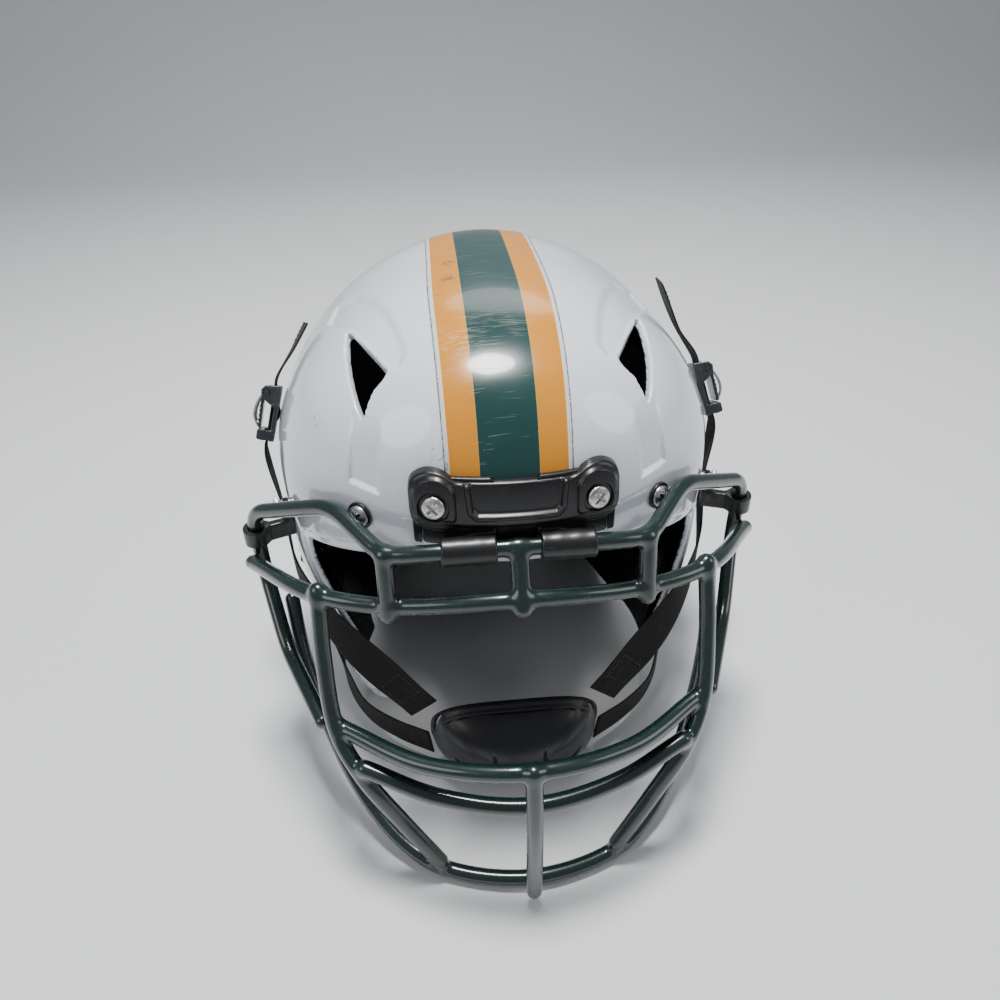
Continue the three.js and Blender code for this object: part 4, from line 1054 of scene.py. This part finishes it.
# ---- mask clips ----
def brow_clip_field(p):
    """A strap of plastic bent round the brow wire, its leg on the shell under the bumper."""
    y, z = p[:, 1] - axis_point[1], p[:, 2] - BROW_Z
    h = height(p)
    outer = WIRE + CLIP_CLEARANCE + CLIP_WALL
    wrap = np.hypot(y, z) - outer
    square = rect(y, z, outer, outer, 4.2)
    wrap = np.maximum(wrap, square)
    rib = 0.35 * np.cos((p[:, 0] - CLIP_CENTRE) * 2 * np.pi / 7.6)
    wrap = smax(wrap + 0.15 + 0.2 * rib, np.abs(p[:, 0] - CLIP_CENTRE) - CLIP_WIDTH / 2, 1.2)
    leg = smax(slab(h, GAP, GAP + CLIP_WALL), rect(p[:, 0] - 24, p[:, 2] - 176, 15, 15, 1.5), 0.5)
    d = smin(wrap, leg, 1.5)
    d = smax(d, -(np.hypot(y, z) - WIRE - 0.15), 0.3)
    local = bumper_screw_seat.local(p)
    d = smax(d, 2.7 - np.hypot(local[:, 0], local[:, 1]), 0.2)
    return smax(d, GAP - h, 0.3)


def side_clip_frame():
    brow = brow_points()
    low, high = (stud_seat.local(np.array([brow[i]], float))[0] for i in (5, 4))
    return low + (high - low) * 0.61, unit(high - low)


def side_clip_field(p):
    """In the stud's frame: a plate under the stud's wing, and a block that grips the loop."""
    centre, along = side_clip_frame()
    start, end = 3.8, centre[1] + 2.5
    plate = rect(p[:, 0], p[:, 1] - (start + end) / 2, 8, (end - start) / 2, 2.4)
    plate = smax(plate, slab(p[:, 2], CLIP_LIFT, CLIP_LIFT + CLIP_PLATE), 0.9)
    rib = rect(np.abs(p[:, 0]) - 5, p[:, 1] - end + 3, 1, 2.6)
    rib = np.maximum(rib, slab(p[:, 2], 4, 9 + p[:, 1] - end))
    block = np.maximum(rect(p[:, 0] - centre[0], p[:, 1] - centre[1], 5, 2.5, 1.2),
                       slab(p[:, 2], CLIP_LIFT, centre[2]))
    q = p - centre
    t = q @ along
    from_wire = np.linalg.norm(q - t[:, None] * along, axis=1)
    barrel = smax(from_wire - WIRE - CLIP_CLEARANCE - CLIP_WALL, np.abs(t) - 5.5, 1.0)
    d = smin(smin(smin(plate, rib, 0.8), block, 1.5), barrel, 1.5)
    return smax(d, WIRE + 0.15 - from_wire, 0.3)


def make_clips():
    low = (CLIP_CENTRE - 15, axis_point[1] - 8, BROW_Z - 8)
    clip = surface_of(brow_clip_field, low, (41, -84, 193), 0.55)
    put_pair("brow_clip_wrap", clip, CLIP, "helmet", "clip", "brow_clip")
    centre, _ = side_clip_frame()
    side = seated_surface(side_clip_field, stud_seat, (-10, -9, 0), (10, centre[1] + 9, centre[2] + 8), 0.6)
    put_pair("side_clip_grip", side, CLIP, "mask", "clip", "side_clip")


# ---- buckles ----
LEVER_HEIGHT = STRAP_LIFT + STRAP_THICKNESS + 3.0
LEVER_Y = -BUCKLE_LENGTH / 2 + 5


def buckle_field(p):
    """Base plate on the snap, two cheeks that carry the lever's pin, and a ribbed bridge."""
    x, y, z = np.abs(p[:, 0]), p[:, 1], p[:, 2]
    base = smax(rect(x, y, BUCKLE_WIDTH / 2, BUCKLE_LENGTH / 2, 4), slab(z, 1, 3.6), 0.8)
    cheek = polygon(y, z, [(LEVER_Y - 5, 1.5), (LEVER_Y + 8, 1.5), (LEVER_Y + 5.5, 6),
                           (LEVER_Y + 2.5, LEVER_HEIGHT + 2.4), (LEVER_Y - 1.5, LEVER_HEIGHT + 3),
                           (LEVER_Y - 4, LEVER_HEIGHT + 1)])
    cheek = smax(cheek, slab(x, BUCKLE_WIDTH / 2 - 2, BUCKLE_WIDTH / 2), 0.8)
    end = BUCKLE_LENGTH / 2
    ribs = 0.35 * smooth(np.cos(x * 2 * np.pi / 3.0))
    bridge = smax(rect(y - end + 3.2, z - 7.9, 2.8, 1.9 + ribs, 1.2), x - BUCKLE_WIDTH / 2, 0.8)
    leg = smax(rect(x - BUCKLE_WIDTH / 2 + 1, y - end + 3.2, 1, 2.6), slab(z, 2, 8), 0.6)
    d = smin(smin(base, cheek, 1.2), smin(bridge, leg, 0.8), 0.8)
    pin = np.hypot(y - LEVER_Y, z - LEVER_HEIGHT) - 1.62
    socket = np.maximum(np.hypot(p[:, 0], y) - 4.7, slab(z, -2, 3.3))
    return smax(smax(d, -pin, 0.3), -socket, 0.3)


def lever_field(p):
    """Cam with a pin, and a curved plate with grip ribs over the strap."""
    x, y, z = np.abs(p[:, 0]), p[:, 1], p[:, 2]
    width = (BUCKLE_WIDTH - 4.8) / 2
    cam = np.hypot(y - LEVER_Y, z - LEVER_HEIGHT) - 2.55
    end = BUCKLE_LENGTH / 2 - 6.5
    run = (y - LEVER_Y) / (end - LEVER_Y)
    grip = 0.35 * smooth(np.cos((y - LEVER_Y) * 2 * np.pi / 2.4) * 1.5) * (run > 0.35)
    top = LEVER_HEIGHT + 2.5 - 0.7 * run + grip
    low = LEVER_HEIGHT + 0.9 - 0.5 * run
    plate = smax(np.maximum(z - top, low - z), slab(y, LEVER_Y, end), 0.5)
    d = smax(smin(cam, plate, 0.8), x - width, 0.7)
    pin = np.maximum(np.hypot(y - LEVER_Y, z - LEVER_HEIGHT) - 1.45, x - BUCKLE_WIDTH / 2 - 0.2)
    return smin(d, pin, 0.2)


def make_buckles():
    half = (BUCKLE_WIDTH / 2 + 1, BUCKLE_LENGTH / 2 + 1)
    body = surface_of(buckle_field, (-half[0], -half[1], 0), (half[0], half[1], 13), 0.55)
    lever = surface_of(lever_field, (-half[0], -half[1], 4), (half[0], half[1], 13), 0.5)
    reach = BUCKLE_WIDTH / 2 - 4
    bow = [(0, 8, 2.2), (reach - 3.5, 7.4, 2.4), (reach - 2, 4, 4.2), (reach - 1, 0, 4.6),
           (reach, LEVER_Y + 4, 3.4), (reach, LEVER_Y + 1, 1.6)]
    bail = tube(catmull(whole(bow + np.array([0, 0, LEVER_HEIGHT])), 1.0), 0.75, 10)
    for level, seat in (("upper", upper_post_seat), ("lower", lower_post_seat)):
        rides = f"{level}_lever_"
        put_pair(f"{level}_buckle_body", seated(body, seat), BUCKLE, "helmet", "buckle", f"{level}_buckle")
        put_pair(f"{level}_buckle_cam", seated(lever, seat), BUCKLE, rides, "buckle", f"{level}_buckle_lever")
        put_pair(f"{level}_buckle_bail", seated(bail, seat), STEEL, rides, "steel")


# ---- straps ----
def seated_station(seat, y, more=0.0):
    lift = STRAP_LIFT + STRAP_THICKNESS / 2 + more
    return (*seat.world((0, y, lift)), *seat.axes[:, 2])


def clear_station(y, z, lift):
    p = on_side(y, z)
    n = normals_at(p)[0]
    return (*(p[0] + n * lift), *n)


def strap_stations(tail):
    """Points of both left straps with the way their face looks, from the free tail to the cup."""
    half = BUCKLE_LENGTH / 2
    upper_ear = CUP_MIDDLE + (CUP_HALF[0] + 2.5, 0, CUP_HALF[2] * 0.55 + 1)
    lower_ear = CUP_MIDDLE + (CUP_HALF[0] - 3 + 3.5, -1, -CUP_HALF[2] * 0.45)
    over = {s: [seated_station(s, y) for y in (-half - 4, -half + 2, half - 2, half + 4)]
            for s in (upper_post_seat, lower_post_seat)}
    at_flap = clear_station(-62, 89, 4.4)[:3], clear_station(-79, 76, 2.2)[:3]
    upper = [clear_station(*tail), clear_station(24, 193, 4 + tail[2] * 0.12), *over[upper_post_seat],
             clear_station(-11, 117, 3), clear_station(-39, 97, 4.6),
             (*at_flap[0], 0.8, -0.58, 0.1), (*at_flap[1], 0.6, -0.64, 0.4),
             (0.52 * MASK_HALF, -92, 62, 0.55, -0.6, 0.55), (*upper_ear, 0.6, -0.5, 0.6)]
    lower = [clear_station(52, 66, 5), *over[lower_post_seat], clear_station(-18, 32, 3),
             (0.745 * MASK_HALF, -52, 17, 0.9, -0.4, 0), (0.66 * MASK_HALF, -70, 13, 0.8, -0.6, -0.1),
             (0.52 * MASK_HALF, -86, 14, 0.5, -0.85, -0.1), (*lower_ear, 0.6, -0.8, -0.1)]
    return upper, lower


def strap_path(stations):
    """The strap's line and, turning with the same steps, the way its face looks."""
    both = catmull(stations, 1.5)
    return both[:, :3], both[:, 3:]


def webbing(line, face, width=STRAP_WIDTH, thickness=STRAP_THICKNESS):
    """A flat strap with rounded, slightly thicker edges, and its u (across) and v (along) in mm."""
    face, side = frames_along(line, face)
    angle = np.linspace(0, 2 * np.pi, 40, endpoint=False)
    sx, cx = np.sin(angle), np.cos(angle)
    across = np.sign(cx) * np.abs(cx) ** 0.35 * width / 2
    through = np.sign(sx) * np.abs(sx) ** 0.5 * thickness / 2
    through = through * (1 + 0.12 * smooth((np.abs(across) - width / 2 + 2) / 1.2))

    def ring(i):
        return line[i] + across[:, None] * side[i] + through[:, None] * face[i]
    geometry = swept(line, ring)
    travelled = np.concatenate([[0], np.cumsum(np.linalg.norm(np.diff(line, axis=0), axis=1))])
    travelled = np.concatenate([[0], travelled, travelled[-1:]])
    uv = np.stack(np.broadcast_arrays((across + width / 2)[None], travelled[:, None]), -1).reshape(-1, 2)
    return geometry, uv


def stitches(line, face, inset, first, last, pitch=2.6):
    """Thread along both edges of a stretch of strap, each stitch a short bowed tube."""
    face, side = frames_along(line, face)
    travelled = np.concatenate([[0], np.cumsum(np.linalg.norm(np.diff(line, axis=0), axis=1))])
    shapes = []

    def at(distance, offset, lift):
        i = min(int(np.searchsorted(travelled, distance)), len(line) - 1)
        return line[i] + side[i] * offset + face[i] * lift

    def stitch(a, b):
        middle = (a[0] + b[0]) / 2, (a[1] + b[1]) / 2
        top = STRAP_THICKNESS / 2
        shapes.append(tube([at(*a, top - 0.25), at(*middle, top + 0.22), at(*b, top - 0.25)], 0.24, 6))

    for offset in (-inset, inset):
        for d in np.arange(first, last - pitch, pitch):
            stitch((d + 0.3, offset), (d + pitch - 0.5, offset))
    for d in (first, last - 1):
        for offset in np.arange(-inset, inset - pitch / 2, pitch):
            stitch((d, offset + 0.3), (d, offset + pitch - 0.5))
    return joined(shapes)


def joined(shapes):
    verts, quads, start = [], [], 0
    for v, q, *_ in shapes:
        verts.append(v)
        quads.append(q + start)
        start += len(v)
    return np.concatenate(verts), np.concatenate(quads)


def make_strap(level, side, stations):
    """One strap with the thread that holds its end on the cup and its hemmed tail."""
    line, face = strap_path(stations)
    geometry, uv = webbing(line, face)
    total = np.linalg.norm(np.diff(line, axis=0), axis=1).sum()
    sewn = joined([stitches(line, face, 6.5, total - 26, total - 10), stitches(line, face, 7.5, 3, 12)])
    if side == "right":
        geometry, sewn = mirror(geometry), mirror(sewn)
    put(f"{level}_strap_webbing_{side}", geometry, STRAP, "helmet", "webbing",
        [f"{level}_strap_{side}"], uv=uv)
    put(f"{level}_strap_stitching_{side}", sewn, THREAD, "helmet", "webbing")


def make_straps():
    for side, tail in (("left", (28, 211, 14)), ("right", (30, 203, 6))):
        upper, lower = strap_stations(tail)
        make_strap("upper", side, upper)
        make_strap("lower", side, lower)


# ---- chin cup ----
def cup_form(p, shrink):
    """Square-shouldered above the middle and rounder below, like the CAD cup."""
    q = np.abs(p - CUP_MIDDLE) / (CUP_HALF - shrink)
    square = np.where(p[:, 2] > CUP_MIDDLE[2], 3.4, 2.2)
    ring = (q[:, 0] ** square + q[:, 2] ** square) ** (2 / square)
    level = np.sqrt(ring + q[:, 1] ** 2)
    return (level - 1) * np.linalg.norm(p - CUP_MIDDLE, axis=1) / np.maximum(level, 1e-6) * 0.9


def cup_back(p, back):
    n = np.array([0, -0.96, -0.28])
    return -((p - CUP_MIDDLE - (0, back, 0)) @ n)


def crescent(p):
    x, z = np.abs(p[:, 0]) - CUP_HALF[0] * 0.5, p[:, 2] - CUP_MIDDLE[2] - 4
    outer = np.hypot(x, z) - 10.6
    inner = np.hypot(x - 1.5, z - 3.4) - 10.9
    return smax(outer, -inner, 0.8)


def cup_field(p):
    outer = cup_form(p, 0)
    back = cup_back(p, 0)
    rim = 0.7 * smooth((4.5 + back) / 2.0)
    plate = rect(p[:, 0], p[:, 2] - CUP_MIDDLE[2] + 4, 13, 5.2, 2.2)
    raised = 0.55 * smooth((-plate) / 0.7) - 0.35 * smooth((-plate - 1.3) / 0.5)
    groove = 0.35 * smooth((0.7 - np.abs(back + 6.6)) / 0.5)
    outer = outer - raised * (p[:, 1] < CUP_MIDDLE[1] - 10) + 0.55 - rim * 0.75 + groove
    d = smax(outer, -cup_form(p, CUP_WALL), 0.8)
    d = smax(d, back, 1.2)
    front = np.where(p[:, 1] < CUP_MIDDLE[1] - 8, crescent(p), 9.0)
    d = smax(d, -front, 1.0)
    from_middle = p - CUP_MIDDLE
    slot = np.minimum(rect(from_middle[:, 1] + 7, from_middle[:, 2] - 12, 1.3, 6, 1.2),
                      rect(from_middle[:, 1] + 8, from_middle[:, 2] + 12, 1.3, 6, 1.2))
    return smax(d, -np.maximum(slot, 28 - np.abs(p[:, 0])), 0.7)


def make_cup():
    low, high = CUP_MIDDLE - CUP_HALF - 2, CUP_MIDDLE + CUP_HALF + 2
    cup = surface_of(cup_field, low, high, 0.75)
    put("chin_cup_hard_shell", cup, CUP, "helmet", "chin_cup", ["chin_cup_shell"])


# ---- padding ----
def pad_shape(surface, plan, thickness, seam=0.5):
    """A closed cushion in front of the shell's wall, and the line of its edge seam."""
    rows, cols = 22, 22
    v, u = np.meshgrid(np.linspace(-1, 1, rows), np.linspace(-1, 1, cols), indexing="ij")
    flat_u, flat_v = u * (1 - 0.12 * v * v) * 0.97, v * (1 - 0.12 * u * u) * 0.97
    on = surface(*plan(flat_u.ravel(), flat_v.ravel()))
    n = normals_at(on)
    crown = 1 - 0.5 * np.maximum(u ** 4, v ** 4).ravel()
    near, far = WALL + 3.8, WALL + 3 + (thickness - 1.6) * crown
    top, under = on - n * near, on - n * far[:, None]
    geometry, rim = closed_sheet(top, under, rows, cols)
    line = top[rim] * (1 - seam) + under[rim] * seam
    return geometry, line


def inflate(obj, cap=0.0035):
    """Swells a closed mesh by cloth pressure, and caps how far a point may move."""
    bpy.context.view_layer.objects.active = obj
    remesh = obj.modifiers.new("remesh", "REMESH")
    remesh.mode = "VOXEL"
    remesh.voxel_size = 0.005
    bpy.ops.object.modifier_apply(modifier=remesh.name)
    before = np.array([v.co for v in obj.data.vertices])
    cloth = obj.modifiers.new("cloth", "CLOTH")
    settings = cloth.settings
    settings.use_pressure = True
    settings.uniform_pressure_force = 4
    settings.effector_weights.gravity = 0
    settings.quality = 5
    scene = bpy.context.scene
    for number in range(1, 21):
        scene.frame_set(number)
    bpy.ops.object.modifier_apply(modifier=cloth.name)
    scene.frame_set(1)
    after = np.array([v.co for v in obj.data.vertices])
    move = after - before
    far = np.linalg.norm(move, axis=1, keepdims=True)
    after = before + move * np.minimum(1, cap / np.maximum(far, 1e-9))
    obj.data.vertices.foreach_set("co", after.astype(np.float32).ravel())
    fine = obj.modifiers.new("fine", "SUBSURF")
    fine.levels = fine.render_levels = 2
    bpy.ops.object.modifier_apply(modifier=fine.name)
    obj.data.shade_smooth()


def sew_channels(obj, distance, depth=2.4, half_width=2.6):
    """Draws the cover in along sewn lines. distance gives mm to the nearest line in the helmet's frame."""
    mesh = obj.data
    co = np.zeros(len(mesh.vertices) * 3, np.float32)
    mesh.vertices.foreach_get("co", co)
    p = co.reshape(-1, 3) * 1000.0 + FOOTPRINT_MIDDLE
    n = np.zeros_like(co)
    mesh.vertices.foreach_get("normal", n)
    sunk = depth * smooth(1 - np.abs(distance(p)) / half_width)
    inward = (n.reshape(-1, 3) * unit(p - MIDDLE)).sum(1) < 0.2
    moved = p - n.reshape(-1, 3) * (sunk * inward)[:, None]
    moved = (moved - FOOTPRINT_MIDDLE) * 0.001
    mesh.vertices.foreach_set("co", moved.astype(np.float32).ravel())
    mesh.update()


def lines_at(axis, places):
    def distance(p):
        return np.min([np.abs(p[:, axis] - place) for place in places], axis=0)
    return distance


def crossed(*distances):
    return lambda p: np.min([d(p) for d in distances], axis=0)


PADS = {   # node: surface, plan of u and v, thickness, sewn lines
    "front_pad": (on_front, lambda u, v: (u * 56, 171 + v * 27), 15, lines_at(0, (-19, 19))),
    "crown_pad": (on_top, lambda u, v: (u * 46, 22 + v * 62), 20,
                  crossed(lines_at(0, (-16, 16)), lines_at(1, (2, 40)))),
    "back_pad": (on_back, lambda u, v: (u * 46, 100 + v * 46), 20,
                 crossed(lines_at(0, (0,)), lines_at(2, (86, 116)))),
    "side_pad": (on_side, lambda u, v: (42 + u * 48, 152 + v * 34), 19, lines_at(1, (26, 58))),
    "jaw_pad": (on_side, lambda u, v: (-38 + u * 21, 64 + v * 30), 20, lines_at(2, (66,))),
}


def make_pads():
    for node, (surface, plan, thickness, seams) in PADS.items():
        geometry, line = pad_shape(surface, plan, thickness)
        both = surface is on_side
        shapes = [("left", 1), ("right", -1)] if both else [("", 1)]
        for side, sign in shapes:
            shape = geometry if sign > 0 else mirror(geometry)
            name = f"{node}_{side}" if side else node
            obj = add_mesh(f"{name}_cushion", shape, PAD)
            inflate(obj)
            sew_channels(obj, seams)
            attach(obj, "helmet")
            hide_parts(name)
            edge = np.vstack([line, line[:2]]) * (sign, 1, 1)
            put(f"{name}_piping", tube(catmull(edge, 2.0), 1.1, 8), PAD, "helmet", "padding")


def cup_pad_field(p):
    outer = cup_form(p, CUP_WALL + 0.7)
    dimple = 0.5 * smooth(np.cos(p[:, 0] * 2 * np.pi / 9) * np.cos(p[:, 2] * 2 * np.pi / 9))
    inner = cup_form(p, CUP_WALL + 6.3)
    return smax(smax(outer, -(inner + dimple), 3.0), cup_back(p, -2.2), 3.0)


def make_cup_pad():
    low, high = CUP_MIDDLE - CUP_HALF - 1, CUP_MIDDLE + CUP_HALF + 1
    liner = surface_of(cup_pad_field, low, high, 0.9)
    obj = put("chin_cup_liner", liner, PAD, "helmet", "padding", ["chin_cup_pad"])


# ---- stage and light ----
def make_stage():
    """A pale floor that curves up into a backdrop."""
    profile = [(-3.0, 0.0)] + [(1.6 + 1.2 * math.sin(a), 1.2 - 1.2 * math.cos(a))
                               for a in np.linspace(0, math.pi / 2, 16)] + [(2.8, 4.0)]
    verts = np.array([(x, y, z) for y, z in profile for x in (-4.0, 4.0)])
    mesh = bpy.data.meshes.new("floor")
    mesh.from_pydata(verts.tolist(), [], grid_quads(len(profile), 2).tolist())
    mesh.shade_smooth()
    f = Finish("floor_pale", Roughness=0.6)
    f.set("Base Color", f.mix(f.noise(3, 2), (0.76, 0.77, 0.78), (0.79, 0.80, 0.81)))
    mesh.materials.append(f.material)
    floor = bpy.data.objects.new("floor", mesh)
    bpy.context.scene.collection.objects.link(floor)


def area_light(name, place, target, size, power, colour=(1, 1, 1)):
    data = bpy.data.lights.new(name, "AREA")
    data.shape = "ELLIPSE"
    data.size, data.size_y = size
    data.energy = power
    data.color = colour
    light = bpy.data.objects.new(name, data)
    light.location = place
    light.rotation_euler = (Vector(target) - Vector(place)).to_track_quat("-Z", "Y").to_euler()
    bpy.context.scene.collection.objects.link(light)


def make_light():
    world = bpy.data.worlds.new("studio")
    world.use_nodes = True
    world.node_tree.nodes["Background"].inputs["Color"].default_value = (0.75, 0.78, 0.82, 1)
    world.node_tree.nodes["Background"].inputs["Strength"].default_value = 0.3
    bpy.context.scene.world = world
    area_light("key", (-0.02, 0.1, 1.5), (0, 0.02, 0.15), (0.4, 0.4), 30)
    area_light("left_soft", (-1.3, -0.7, 1.1), (0, 0, 0.12), (0.9, 1.0), 6)
    area_light("right_soft", (1.4, -0.5, 1.0), (0, 0, 0.12), (0.8, 1.0), 5)
    area_light("back_soft", (0.2, 1.5, 1.4), (0, 0.1, 0.15), (1.0, 0.5), 4)


make_shell()
make_stripe()
make_bumpers()
make_screws()
make_turned_parts()
make_mask()
make_clips()
make_buckles()
make_straps()
make_cup()
make_cup_pad()
make_pads()
make_stage()
make_light()
